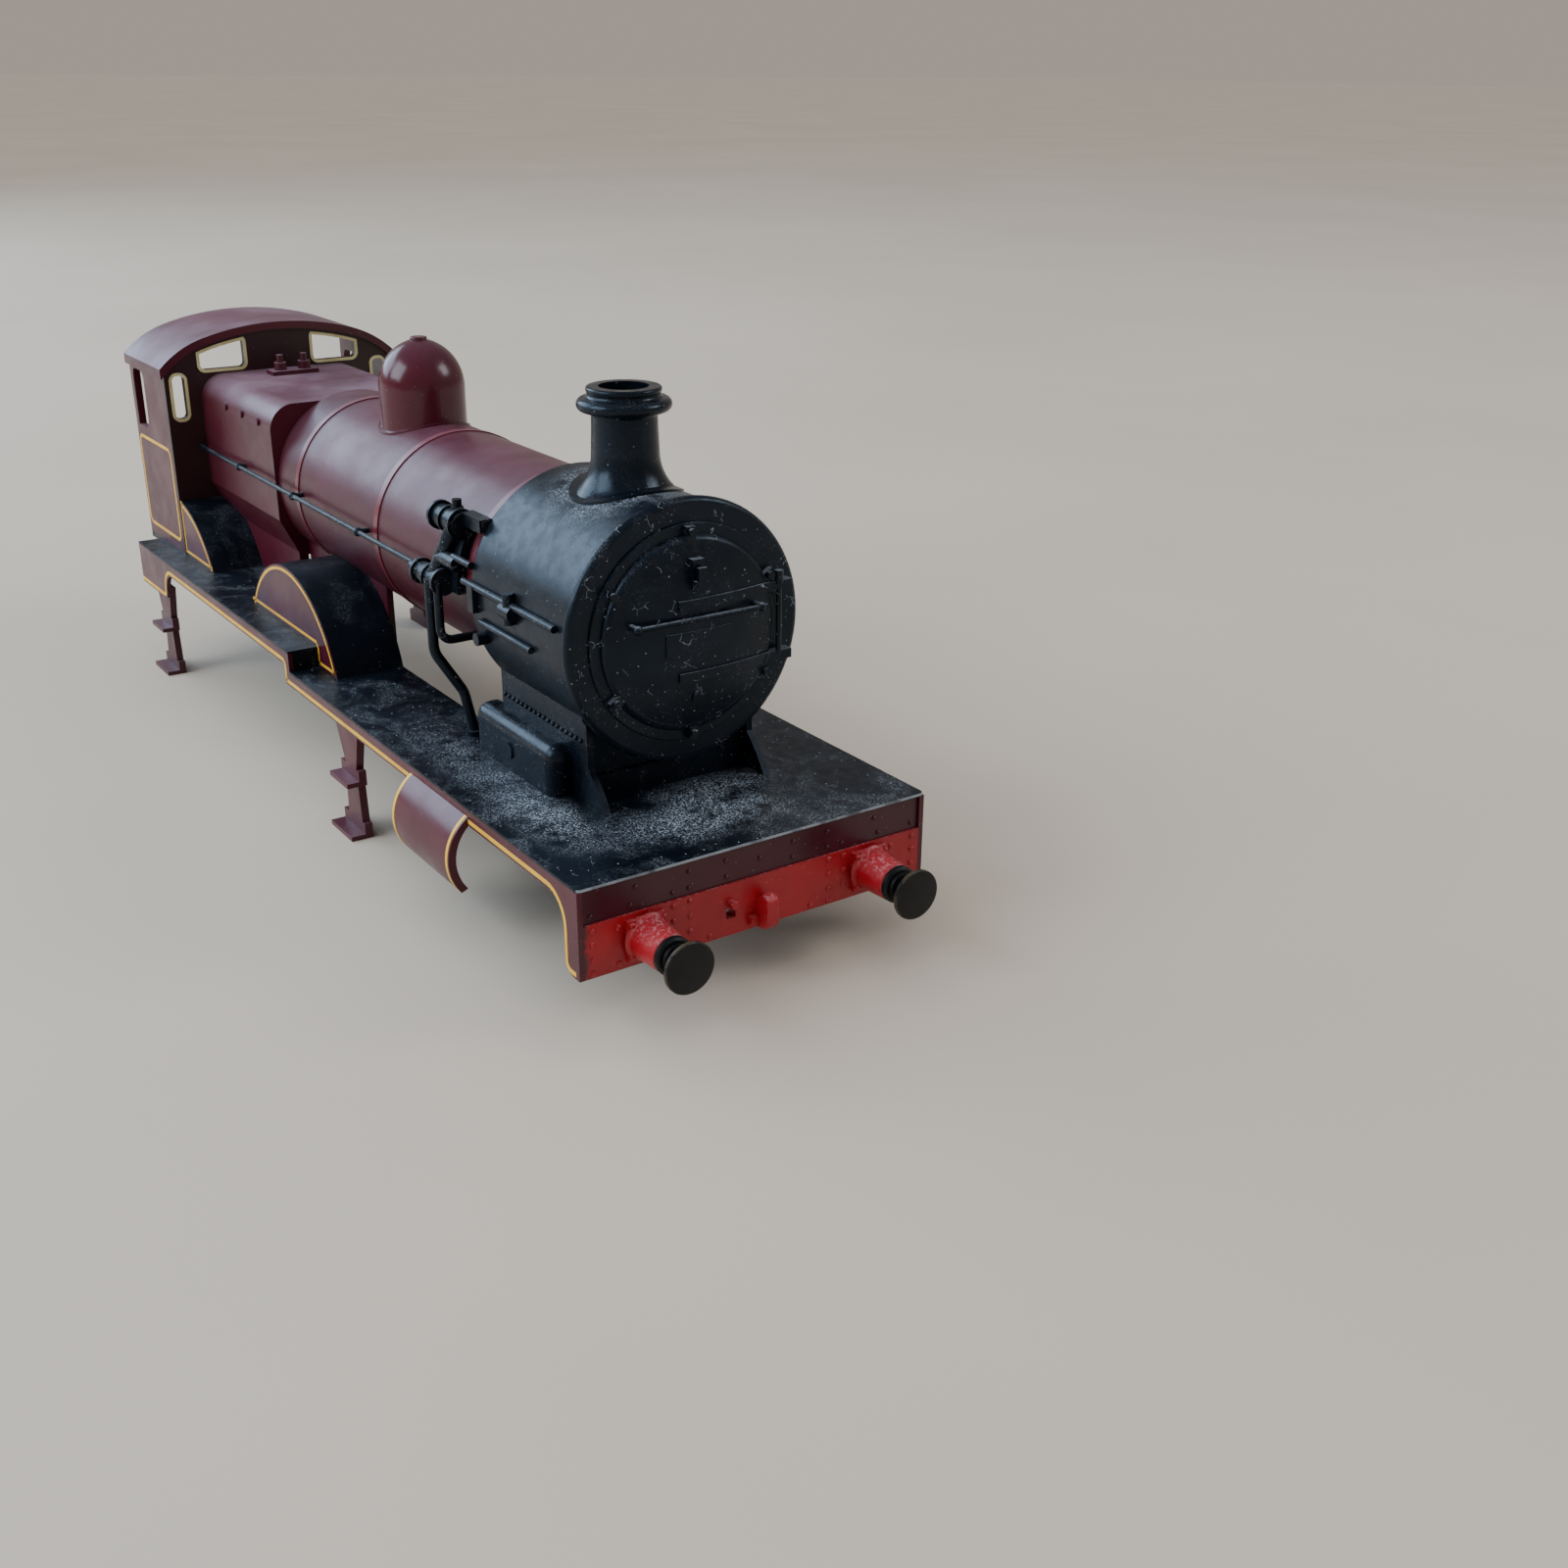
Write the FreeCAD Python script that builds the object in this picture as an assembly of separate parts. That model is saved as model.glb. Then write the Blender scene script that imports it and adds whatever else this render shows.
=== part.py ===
import FreeCAD, Part
import math
import os

# Moulded body shell of a small-scale 4-4-0 express steam locomotive, taken off its
# chassis, with sprung metal buffers. Millimetres throughout.
#
# Drawing frame used below: X forward with 0 at the buffer beam's front face, Y to the
# locomotive's left, Z up with 0 on top of the low footplate. Every piece is shifted to
# the part's own frame (bounding box bottom centre) when it is written.

# ---------------------------------------------------------------- driving dimensions
PLATE_W = 35.4            # width over the footplate
PLATE_T = 0.8             # footplate moulding thickness
LIP_T = 0.25              # thickness of the thin lip left at the footplate's edges
PLATE_RISE = 2.2          # step up in the footplate behind the riser
RISER_X = -62.8           # front face of the step
REAR_X = -121.5           # rear end of the cab and its floor
WIDE_REAR_X = -116.5      # rear end of the full-width footplate and the valances
SLOT_HALF = 7.0           # half width of the chassis slot
SLOT_FRONT_X = -39.0      # front end of the chassis slot
SLOT_REAR_X = -104.0      # rear end of the chassis slot
VALANCE_T = 0.5           # thickness of the edge valance
VALANCE_DROP = 1.7        # footplate top down to the valance's lower edge
BEAM_BOTTOM = -8.2        # lower edge of the buffer beam
LEDGE_Z = -3.4            # top of the red beam, bottom of the front frame plate
BEAM_T = 1.2              # buffer beam thickness

BUFFER_Y = 11.5           # half of the standard 23 mm buffer spacing
BUFFER_Z = -5.7           # height of the buffer centres
BUFFER_FACE_X = 7.1       # front of the buffer heads
BUFFER_HEAD_D = 4.57
BUFFER_TRAVEL = 1.0       # how far a head can be pushed in
SHANK_R = 0.75
RUN_CLEAR = 0.05          # radial running clearance of the shank in its guides
SPRING_ROOM_R = 1.35      # bore of the spring chamber

BOILER_Z = 15.1           # height of the boiler centre line
BOILER_R = 9.85
BOILER_WALL = 0.9
SMOKEBOX_R = 11.15
SMOKEBOX_FRONT_X = -12.3
SMOKEBOX_REAR_X = -30.3
RING_D = 23.45            # smokebox front ring diameter
RING_FRONT_X = -11.4
FIREBOX_FRONT_X = -83.0
FIREBOX_TOP = 24.1
FIREBOX_HALF = 10.2

CHIMNEY_X = -21.1
CHIMNEY_TOP = 34.6
DOME_X = -63.6
DOME_R = 4.5
DOME_TOP = 33.1

CAB_FRONT_X = -107.0
CAB_HALF = 14.5           # half width over the cab sides
CAB_T = 0.9               # cab sheet thickness
EAVES_Z = 24.0
ROOF_TOP = 29.8

WHEEL_X = -70.5           # centre of the leading coupled wheels
WHEELBASE = 38.0          # leading to trailing coupled wheels
WHEEL_Z = -4.5
SPLASHER_R = 13.6
SPLASHER_INSET = 0.1      # the splasher faces stand this far inside the cab sides
SPLASHER_T = 0.8

STEP_FOOT_Z = -13.0       # underside of the step feet, which the shell stands on
STEP_T = 0.8
RAIL_Y = 11.0             # boiler handrails, half spacing
RAIL_Z = 15.5
RAIL_R = 0.25
PILOT_R = 0.85            # pilot holes for the two self-tapping fixing screws
BOSS_R = 2.4              # screw bosses under the footplate
BOSS_BOTTOM = -4.6
FRONT_BOSS_X = -24.0
REAR_BOSS_X = -112.0

PLATE_HALF = PLATE_W / 2.0
CORE_HALF = PLATE_HALF - VALANCE_T
SPLASHER_HALF = CAB_HALF - SPLASHER_INSET
HIGH_Z = PLATE_RISE
ORIGIN = FreeCAD.Vector((BUFFER_FACE_X + REAR_X) / 2.0, 0, STEP_FOOT_Z)


# ---------------------------------------------------------------- helpers
def vec(x, y, z):
    return FreeCAD.Vector(x, y, z)


def box(x0, x1, y0, y1, z0, z1):
    return Part.makeBox(x1 - x0, y1 - y0, z1 - z0, vec(x0, y0, z0))


def rod_x(radius, x0, x1, y, z):
    return Part.makeCylinder(radius, x1 - x0, vec(x0, y, z), vec(1, 0, 0))


def rod_y(radius, y0, y1, x, z):
    return Part.makeCylinder(radius, y1 - y0, vec(x, y0, z), vec(0, 1, 0))


def rod_z(radius, z0, z1, x, y):
    return Part.makeCylinder(radius, z1 - z0, vec(x, y, z0), vec(0, 0, 1))


def outline(points, place):
    """Closed face through 2D points; a triple ("arc", mid, end) makes an arc."""
    edges = []
    here = points[0]
    for item in list(points[1:]) + [points[0]]:
        if item[0] == "arc":
            edges.append(Part.Arc(place(*here), place(*item[1]), place(*item[2])).toShape())
            here = item[2]
        elif math.dist(here, item) > 1e-6:
            edges.append(Part.makeLine(place(*here), place(*item)))
            here = item
    return Part.Face(Part.Wire(edges))


def side_prism(points, y0, y1):
    """Outline drawn in X and Z, given a thickness along Y."""
    return outline(points, lambda a, b: vec(a, y0, b)).extrude(vec(0, y1 - y0, 0))


def cross_prism(points, x0, x1):
    """Outline drawn in Y and Z, given a length along X."""
    return outline(points, lambda a, b: vec(x0, a, b)).extrude(vec(x1 - x0, 0, 0))


def turned_x(points, y, z):
    """Outline in X and radius, turned about a line along X."""
    face = outline(points, lambda a, b: vec(a, y, z + b))
    return face.revolve(vec(0, y, z), vec(1, 0, 0), 360)


def turned_z(points, x, y):
    """Outline in radius and Z, turned about an upright line."""
    face = outline(points, lambda a, b: vec(x + a, y, b))
    return face.revolve(vec(x, y, 0), vec(0, 0, 1), 360)


def joined(shapes):
    whole = shapes[0].multiFuse(shapes[1:]) if len(shapes) > 1 else shapes[0]
    return whole.removeSplitter()


def other_side(shape):
    return shape.mirror(vec(0, 0, 0), vec(0, 1, 0))


def pipe(points, radius, bend):
    """Round rod along a line of points, its corners rounded to the bend radius."""
    edges = []
    start = vec(*points[0])
    for before, corner, after in zip(points, points[1:], points[2:]):
        corner = vec(*corner)
        back = (vec(*before) - corner).normalize()
        on = (vec(*after) - corner).normalize()
        half = back.getAngle(on) / 2.0
        reach = bend / math.tan(half)
        first = corner + back * reach
        last = corner + on * reach
        centre = corner + (back + on).normalize() * (bend / math.sin(half))
        middle = centre + (corner - centre).normalize() * bend
        if first.distanceToPoint(start) > 1e-4:
            edges.append(Part.makeLine(start, first))
        edges.append(Part.Arc(first, middle, last).toShape())
        start = last
    edges.append(Part.makeLine(start, vec(*points[-1])))
    path = Part.Wire(edges)
    tangent = edges[0].tangentAt(edges[0].FirstParameter)
    ring = Part.Wire(Part.makeCircle(radius, edges[0].Vertexes[0].Point, tangent))
    return path.makePipeShell([ring], True, False)


def rivet_x(x, y, z, radius=0.3, height=0.16):
    """Low round rivet head on a face that looks forward."""
    crown = radius * 0.45
    shoulder = x + height * 0.55
    return turned_x([(x - 0.1, 0), (x - 0.1, radius), (shoulder, radius * 0.85),
                     (x + height, crown), (x + height, 0)], y, z)


pieces = {}


def keep(name, shape):
    pieces[name] = shape


def keep_pair(name, right):
    """The right-hand piece lies on the -Y side; the left one is its mirror image."""
    pieces[name + "_right"] = right
    pieces[name + "_left"] = other_side(right)


# ---------------------------------------------------------------- footplate
# The deck is built of plain slabs that meet face to face around the chassis slot and the
# four wheel bays, with a riser on each side where it steps up.
BAY_OUT = SPLASHER_HALF - SPLASHER_T - 0.4
bay_reach = math.sqrt((SPLASHER_R - SPLASHER_T) ** 2 - (HIGH_Z - WHEEL_Z) ** 2)
bay_front = WHEEL_X + bay_reach
bay_rear = WHEEL_X - bay_reach
second_front = WHEEL_X - WHEELBASE + bay_reach
second_rear = WHEEL_X - WHEELBASE - bay_reach
low_z = HIGH_Z - PLATE_T
deck = [
    box(SLOT_FRONT_X, -BEAM_T, -CORE_HALF, CORE_HALF, -PLATE_T, 0),
    box(REAR_X, SLOT_REAR_X, -SLOT_HALF, SLOT_HALF, low_z, HIGH_Z)]
right_slabs = [
    box(bay_front, SLOT_FRONT_X, -CORE_HALF, -SLOT_HALF, -PLATE_T, 0),
    box(RISER_X, bay_front, -CORE_HALF, -BAY_OUT, -PLATE_T, 0),
    box(RISER_X - PLATE_T, RISER_X, -CORE_HALF, -BAY_OUT, -PLATE_T, low_z),
    box(WIDE_REAR_X, RISER_X, -CORE_HALF, -BAY_OUT, low_z, HIGH_Z),
    box(REAR_X, WIDE_REAR_X, -CAB_HALF, -BAY_OUT, low_z, HIGH_Z),
    box(second_front, bay_rear, -BAY_OUT, -SLOT_HALF, low_z, HIGH_Z),
    box(REAR_X, second_rear, -BAY_OUT, -SLOT_HALF, low_z, HIGH_Z)]
deck = deck + right_slabs + [other_side(slab) for slab in right_slabs]

# fixing bosses for the chassis screws, under the saddle and under the cab floor
for x, top in ((FRONT_BOSS_X, -PLATE_T), (REAR_BOSS_X, low_z)):
    boss = rod_z(BOSS_R, BOSS_BOTTOM, top, x, 0)
    deck.append(boss.cut(rod_z(PILOT_R, BOSS_BOTTOM - 1, top + 1, x, 0)))
keep("footplate", Part.makeCompound(deck))


def footplate_lip():
    """Thin lip along the front and both sides; the valances and the front plate stand
    under it."""
    low = box(RISER_X, 0, -PLATE_HALF, PLATE_HALF, -LIP_T, 0)
    corners = [e for e in low.Edges if e.BoundBox.XMin > -0.01 and e.BoundBox.YLength < 0.01]
    low = low.makeFillet(0.5, corners)
    low = low.cut(box(RISER_X - 1, -BEAM_T, -CORE_HALF, CORE_HALF, -1, 1))
    right = box(WIDE_REAR_X, RISER_X, -PLATE_HALF, -CORE_HALF, HIGH_Z - LIP_T, HIGH_Z)
    return Part.makeCompound([low, right, other_side(right)])


keep("footplate_lip", footplate_lip())

# ---------------------------------------------------------------- valances
# Shallow edge strip below the footplate. Its front end drops to the bottom of the
# buffer beam and its rear end to the top of the rear steps.
LOW_EDGE = -VALANCE_DROP
HIGH_EDGE = HIGH_Z - VALANCE_DROP
FRONT_DROP_W = 2.3
REAR_DROP_X = -106.0
REAR_DROP_Z = -3.0
LINK_X = RISER_X - PLATE_T
valance_profile = [
    (0.0, -LIP_T),
    (0.0, BEAM_BOTTOM),
    (-FRONT_DROP_W + 1.4, BEAM_BOTTOM),
    ("arc", (-FRONT_DROP_W + 0.41, BEAM_BOTTOM + 0.41), (-FRONT_DROP_W, BEAM_BOTTOM + 1.4)),
    (-FRONT_DROP_W, LOW_EDGE - 2.5),
    ("arc", (-FRONT_DROP_W - 0.732, LOW_EDGE - 0.732), (-FRONT_DROP_W - 2.5, LOW_EDGE)),
    (LINK_X - VALANCE_T, LOW_EDGE),
    (LINK_X - VALANCE_T, HIGH_EDGE),
    (REAR_DROP_X + 2.5, HIGH_EDGE),
    ("arc", (REAR_DROP_X + 0.732, HIGH_EDGE - 0.732), (REAR_DROP_X, HIGH_EDGE - 2.5)),
    ("arc", (REAR_DROP_X - 0.293, REAR_DROP_Z + 0.293), (REAR_DROP_X - 1.0, REAR_DROP_Z)),
    (WIDE_REAR_X, REAR_DROP_Z),
    (WIDE_REAR_X, HIGH_Z - LIP_T),
    (RISER_X, HIGH_Z - LIP_T),
    (RISER_X, -LIP_T),
]
keep_pair("valance", side_prism(valance_profile, -PLATE_HALF, -PLATE_HALF + VALANCE_T))

# ---------------------------------------------------------------- front frame plate
# Riveted plate directly under the footplate's front edge, set back from the beam.
PLATE_FACE_X = -0.25
frame_plate = box(-BEAM_T, PLATE_FACE_X, -CORE_HALF, CORE_HALF, LEDGE_Z, -LIP_T)
rivets = []
for y in (3.4, 7.1, 8.7, 12.7, 16.4):
    rivets.append(rivet_x(PLATE_FACE_X, y, -2.75, 0.24))
    rivets.append(rivet_x(PLATE_FACE_X, -y, -2.75, 0.24))
for y in (3.45, 7.1, 12.2):
    rivets.append(rivet_x(PLATE_FACE_X, y, -1.25, 0.24))
    rivets.append(rivet_x(PLATE_FACE_X, -y, -1.25, 0.24))
rivets.append(rivet_x(PLATE_FACE_X, 0, -1.9, 0.24))
keep("front_frame_plate", joined([frame_plate] + rivets))

# ---------------------------------------------------------------- buffer beam
# Square housing bases and all rivets are moulded with the beam. A small square hole
# beside the middle takes the plug-in brake pipe.
PIPE_HOLE_Y = -3.1
PIPE_HOLE_Z = -6.15
PIPE_HOLE_W = 0.95
beam = box(-BEAM_T, 0, -CORE_HALF, CORE_HALF, BEAM_BOTTOM, LEDGE_Z)
beam_rivets = []
for side in (-1, 1):
    for z in (-3.95, -5.2, -6.6, -7.8):
        beam_rivets.append(rivet_x(0, side * 16.4, z))
    for z in (-3.85, -5.25, -6.65):
        beam_rivets.append(rivet_x(0, side * 8.75, z))
        beam_rivets.append(rivet_x(0, side * 7.15, z))
    beam_rivets.append(rivet_x(0, side * 7.15, -7.85))
    beam_rivets.append(rivet_x(0, side * 5.2, -7.75))
    beam_rivets.append(rivet_x(0, side * 14.0, -4.3))
    beam_rivets.append(rivet_x(0, side * 14.0, -7.6))
beam = joined([beam] + beam_rivets)
for side in (-1, 1):
    beam = beam.cut(rod_x(SHANK_R + RUN_CLEAR, -5, 1, side * BUFFER_Y, BUFFER_Z))
hole = box(-5, 1, PIPE_HOLE_Y - PIPE_HOLE_W / 2, PIPE_HOLE_Y + PIPE_HOLE_W / 2,
           PIPE_HOLE_Z - PIPE_HOLE_W / 2, PIPE_HOLE_Z + PIPE_HOLE_W / 2)
keep("buffer_beam", beam.cut(hole))

# ---------------------------------------------------------------- buffers
# Each buffer: red moulded housing on the beam, black guide bush plugged into it, and
# a turned head on a shank that slides back against a coil spring.
BASE_W = 3.7
BASE_T = 0.5
HOUSING_FRONT_X = 4.1
HOUSING_R_REAR = 1.95
HOUSING_R_FRONT = 1.72
BUSH_REAR_X = 2.9
BUSH_STEP_X = 4.65
BUSH_FRONT_X = 5.05
SHOULDER_R = 1.2
SHOULDER_T = 0.6
HEAD_BACK_X = BUSH_FRONT_X + BUFFER_TRAVEL + 0.15
by, bz = -BUFFER_Y, BUFFER_Z
half = BASE_W / 2.0
base = box(0, BASE_T, by - half, by + half, bz - half, bz + half)
barrel = turned_x([(0.1, 0), (0.1, HOUSING_R_REAR), (HOUSING_FRONT_X - 0.15, HOUSING_R_FRONT),
                   (HOUSING_FRONT_X, HOUSING_R_FRONT - 0.15), (HOUSING_FRONT_X, 0)], by, bz)
root = turned_x([(BASE_T - 0.05, 0), (BASE_T - 0.05, HOUSING_R_REAR + 0.25),
                 ("arc", (BASE_T + 0.12, HOUSING_R_REAR + 0.05),
                  (BASE_T + 0.4, HOUSING_R_REAR - 0.05)),
                 (BASE_T + 0.4, 0)], by, bz)
bolts = [rivet_x(BASE_T, by + a * 1.5, bz + b * 1.5, 0.27, 0.2)
         for a in (-1, 1) for b in (-1, 1)]
housing = joined([base, barrel, root] + bolts)
keep_pair("buffer_housing", housing.cut(rod_x(SPRING_ROOM_R, -1, 6, by, bz)))

bush = turned_x([(BUSH_REAR_X, 0), (BUSH_REAR_X, SPRING_ROOM_R), (HOUSING_FRONT_X, SPRING_ROOM_R),
                 (HOUSING_FRONT_X, 1.7), (HOUSING_FRONT_X + 0.4, 1.7), (BUSH_STEP_X, 1.5),
                 (BUSH_STEP_X, 1.25), (BUSH_FRONT_X, 1.25), (BUSH_FRONT_X, 0)], by, bz)
keep_pair("buffer_bush", bush.cut(rod_x(SHANK_R + RUN_CLEAR, 0, 7, by, bz)))

head_r = BUFFER_HEAD_D / 2.0
head = turned_x([(HEAD_BACK_X, 0), (HEAD_BACK_X, 1.0), (HEAD_BACK_X + 0.1, 1.05),
                 (6.52, head_r - 0.06), (6.58, head_r), (6.86, head_r), (6.92, head_r - 0.06),
                 ("arc", (7.05, head_r / 2.0), (BUFFER_FACE_X, 0.1)), (BUFFER_FACE_X, 0)], by, bz)
keep_pair("buffer_head", head.cut(rod_x(SHANK_R, HEAD_BACK_X - 1, 6.75, by, bz)))

shank = rod_x(SHANK_R, -1.7, 6.75, by, bz)
shoulder = rod_x(SHOULDER_R, BUSH_REAR_X - SHOULDER_T, BUSH_REAR_X, by, bz)
keep_pair("buffer_shank", joined([shank, shoulder]))

SPRING_WIRE_R = 0.12
SPRING_R = 1.03
spring_len = BUSH_REAR_X - SHOULDER_T - 2 * SPRING_WIRE_R
turns = 3.5
helix = Part.makeHelix(spring_len / turns, spring_len, SPRING_R)
wire_end = Part.Wire(Part.makeCircle(SPRING_WIRE_R, vec(SPRING_R, 0, 0), vec(0, 1, 0)))
coil = Part.Wire(helix).makePipeShell([wire_end], True, True)
coil.rotate(vec(0, 0, 0), vec(0, 1, 0), 90)
coil.translate(vec(SPRING_WIRE_R, by, bz))
keep("buffer_spring_right", coil)
coil_left = coil.copy()
coil_left.translate(vec(0, 2 * BUFFER_Y, 0))
keep("buffer_spring_left", coil_left)

# ---------------------------------------------------------------- hook and pipe stub
hook = side_prism([(0.0, -7.9), (0.9, -8.0), ("arc", (1.75, -7.6), (2.0, -6.8)),
                   (1.95, -5.6), ("arc", (1.55, -4.75), (0.9, -4.75)), (0.3, -5.3),
                   (0.0, -5.6)], -0.6, 0.6)
hook = hook.makeFillet(0.25, [e for e in hook.Edges if e.BoundBox.XMin > 0.25])
hook_boss = rod_x(0.45, 0, 0.6, -0.95, -7.3)
hook_boss = joined([hook_boss, box(0, 0.3, -1.4, -0.55, -7.75, -6.85)])
keep("coupling_hook", joined([hook, hook_boss]))
stub = rod_x(0.42, 0, 0.75, PIPE_HOLE_Y + 0.05, PIPE_HOLE_Z + PIPE_HOLE_W / 2 + 0.47)
keep("brake_pipe_stub", stub.makeFillet(0.15, [e for e in stub.Edges if e.BoundBox.XMin > 0.7]))

# ---------------------------------------------------------------- smokebox
smokebox = rod_x(SMOKEBOX_R, SMOKEBOX_REAR_X, SMOKEBOX_FRONT_X, 0, BOILER_Z)
smokebox = smokebox.cut(rod_x(BOILER_R, SMOKEBOX_REAR_X - 1, SMOKEBOX_FRONT_X + 1, 0, BOILER_Z))
keep("smokebox", smokebox)

ring_r = RING_D / 2.0
STEP_R = 9.65
STEP_X = RING_FRONT_X + 0.3
front_ring = turned_x([
    (SMOKEBOX_FRONT_X, 0), (SMOKEBOX_FRONT_X, ring_r - 0.3),
    ("arc", (SMOKEBOX_FRONT_X + 0.09, ring_r - 0.09), (SMOKEBOX_FRONT_X + 0.3, ring_r)),
    (RING_FRONT_X - 0.55, ring_r),
    ("arc", (RING_FRONT_X - 0.16, ring_r - 0.175), (RING_FRONT_X, ring_r - 0.6)),
    (RING_FRONT_X, STEP_R),
    (STEP_X - 0.1, STEP_R), (STEP_X, STEP_R - 0.1), (STEP_X, 0)], 0, BOILER_Z)
keep("smokebox_front_ring", front_ring)

DOOR_R = 8.7
DOOR_X = -9.5             # middle of the dished door
DISH_R = 8.0              # radius where the dish meets the rounded edge
DISH_DEPTH = 0.95


def door_body(extra):
    """The dished door, or everything up to the given height over its face."""
    rim_x = DOOR_X - DISH_DEPTH + extra
    half_x = DOOR_X - DISH_DEPTH / 4.0 + extra
    return turned_x([
        (STEP_X, 0), (STEP_X, DOOR_R + extra),
        ("arc", (rim_x - 0.19, DISH_R + 0.5 + extra), (rim_x, DISH_R)),
        ("arc", (half_x, DISH_R / 2.0), (DOOR_X + extra, 0.2)), (DOOR_X + extra, 0)], 0, BOILER_Z)


door = door_body(0)
keep("smokebox_door", door)


def on_door(shape):
    return shape.cut(door).cut(front_ring)


# two strap hinges follow the dish and run out to the ring, joined by the hinge rod
STRAP_T = 0.22
HINGE_X = -10.25
HINGE_Y = 8.85
straps = []
for z0, z1 in ((2.6, 3.45), (-3.8, -2.95)):
    over = box(STEP_X, 0, -1.9, 8.2, BOILER_Z + z0, BOILER_Z + z1)
    straps.append(over.common(door_body(STRAP_T)))
    straps.append(box(RING_FRONT_X, HINGE_X, 7.7, 10.2, BOILER_Z + z0, BOILER_Z + z1))
straps.append(rod_z(0.25, BOILER_Z - 3.2, BOILER_Z + 2.8, HINGE_X - 0.1, HINGE_Y))
straps.append(rod_z(0.38, BOILER_Z + 3.2, BOILER_Z + 4.4, HINGE_X - 0.1, HINGE_Y))
hinges = on_door(joined(straps))
keep("door_hinge_straps", hinges)

rail_z = BOILER_Z + 1.85
DOOR_RAIL_X = -9.1
door_rail = [rod_y(0.21, -6.5, 6.7, DOOR_RAIL_X, rail_z)]
for y in (-6.2, 6.15):
    door_rail.append(rod_x(0.3, DOOR_X - DISH_DEPTH, DOOR_RAIL_X, y, rail_z))
    door_rail.append(Part.makeSphere(0.4, vec(DOOR_RAIL_X, y, rail_z), vec(0, 1, 0)))
keep("door_handrail", on_door(joined(door_rail)))

DOG_REACH = 8.95
dogs = []
for angle in (90, 149, 212, 270, 328, 27):
    a = math.radians(angle)
    y = DOG_REACH * math.cos(a)
    z = BOILER_Z + DOG_REACH * math.sin(a)
    dog = box(STEP_X, STEP_X + 0.6, -0.42, 0.42, -0.85, 0.5)
    dog = joined([dog, rod_x(0.36, STEP_X, STEP_X + 0.95, 0, 0)])
    dog.rotate(vec(0, 0, 0), vec(1, 0, 0), angle - 90)
    dog.translate(vec(0, y, z))
    dogs.append(on_door(dog).cut(hinges))
keep("door_dogs", joined(dogs))

bracket = joined([
    box(DOOR_X - DISH_DEPTH, DOOR_X + 0.05, -0.55, 0.6, BOILER_Z + 4.3, BOILER_Z + 6.9),
    box(DOOR_X - DISH_DEPTH, DOOR_X + 0.75, -0.55, 0.6, BOILER_Z + 4.7, BOILER_Z + 5.1),
    box(DOOR_X + 0.4, DOOR_X + 0.75, -0.4, 0.45, BOILER_Z + 4.7, BOILER_Z + 6.3)])
keep("door_lamp_bracket", on_door(bracket))

plate = box(STEP_X, 0, -3.2, 3.4, BOILER_Z - 1.25, BOILER_Z + 0.72).common(door_body(0.12))
door_boss = rod_x(0.65, STEP_X, 0, 0.18, BOILER_Z - 5.43).common(door_body(0.15))
keep("door_plate", Part.makeCompound([on_door(plate), on_door(door_boss)]))

# ---------------------------------------------------------------- saddle and wings
SADDLE_HALF = 8.6
WING_T = 0.6
SADDLE_FRONT_X = -14.85
SADDLE_REAR_X = SMOKEBOX_REAR_X
saddle = box(SADDLE_REAR_X, SADDLE_FRONT_X, -SADDLE_HALF, SADDLE_HALF, 0, BOILER_Z - 6)
inside = box(SADDLE_REAR_X + 1.0, SADDLE_FRONT_X - 1.0,
             -SADDLE_HALF + 1.0, SADDLE_HALF - 1.0, 1.0, 9)
saddle = saddle.cut(inside).cut(rod_x(SMOKEBOX_R, -60, 0, 0, BOILER_Z))
strip = []
for i in range(18):
    x = SADDLE_FRONT_X - 0.35 - i * 0.85
    stud = Part.makeSphere(0.24, vec(x, -SADDLE_HALF, 5.75), vec(0, 1, 0))
    strip.append(stud)
    strip.append(other_side(stud))
keep("saddle", joined([saddle] + strip).cut(rod_x(SMOKEBOX_R, -60, 0, 0, BOILER_Z)))

# thin wings run forward from the saddle's corners, with a low apron plate between them
wing = side_prism([
    (-11.3, 0), (SADDLE_FRONT_X, 0), (SADDLE_FRONT_X, 7.6), (SADDLE_FRONT_X + 0.65, 7.4),
    (SADDLE_FRONT_X + 0.75, 3.45), (-12.4, 1.65)], -SADDLE_HALF, -SADDLE_HALF + WING_T)
wing = wing.cut(rod_x(SMOKEBOX_R, -60, SMOKEBOX_FRONT_X, 0, BOILER_Z)).cut(front_ring)
keep_pair("saddle_wing", wing)
APRON_T = 0.35
APRON_H = 2.4
apron_half = SADDLE_HALF - WING_T
keep("saddle_apron",
     box(SADDLE_FRONT_X, SADDLE_FRONT_X + APRON_T, -apron_half, apron_half, 0, APRON_H))

# valve-chest cover outside the saddle, round-shouldered, with an oval cover plate
CHEST_OUT = 10.7
CHEST_TOP = 4.7
chest = box(-32.4, -17.0, -CHEST_OUT, -SADDLE_HALF, 0, CHEST_TOP)
tops = [e for e in chest.Edges
        if (e.BoundBox.YMax < -CHEST_OUT + 0.01 and e.BoundBox.ZMin > CHEST_TOP - 0.01)
        or (e.BoundBox.YMax < -CHEST_OUT + 0.01 and e.BoundBox.ZLength > 4)
        or (e.BoundBox.ZMin > CHEST_TOP - 0.01 and e.BoundBox.XLength < 0.01)]
chest = chest.makeFillet(1.3, tops)
oval = rod_y(0.8, -CHEST_OUT - 0.18, -CHEST_OUT + 0.1, 0, 0)
oval = joined([oval, box(-1.5, 0, -CHEST_OUT - 0.18, -CHEST_OUT + 0.1, -0.8, 0.8),
               rod_y(0.8, -CHEST_OUT - 0.18, -CHEST_OUT + 0.1, -1.5, 0)])
oval.translate(vec(-25.2, 0, 2.0))
keep_pair("valve_chest_cover", joined([chest, oval]))

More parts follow.
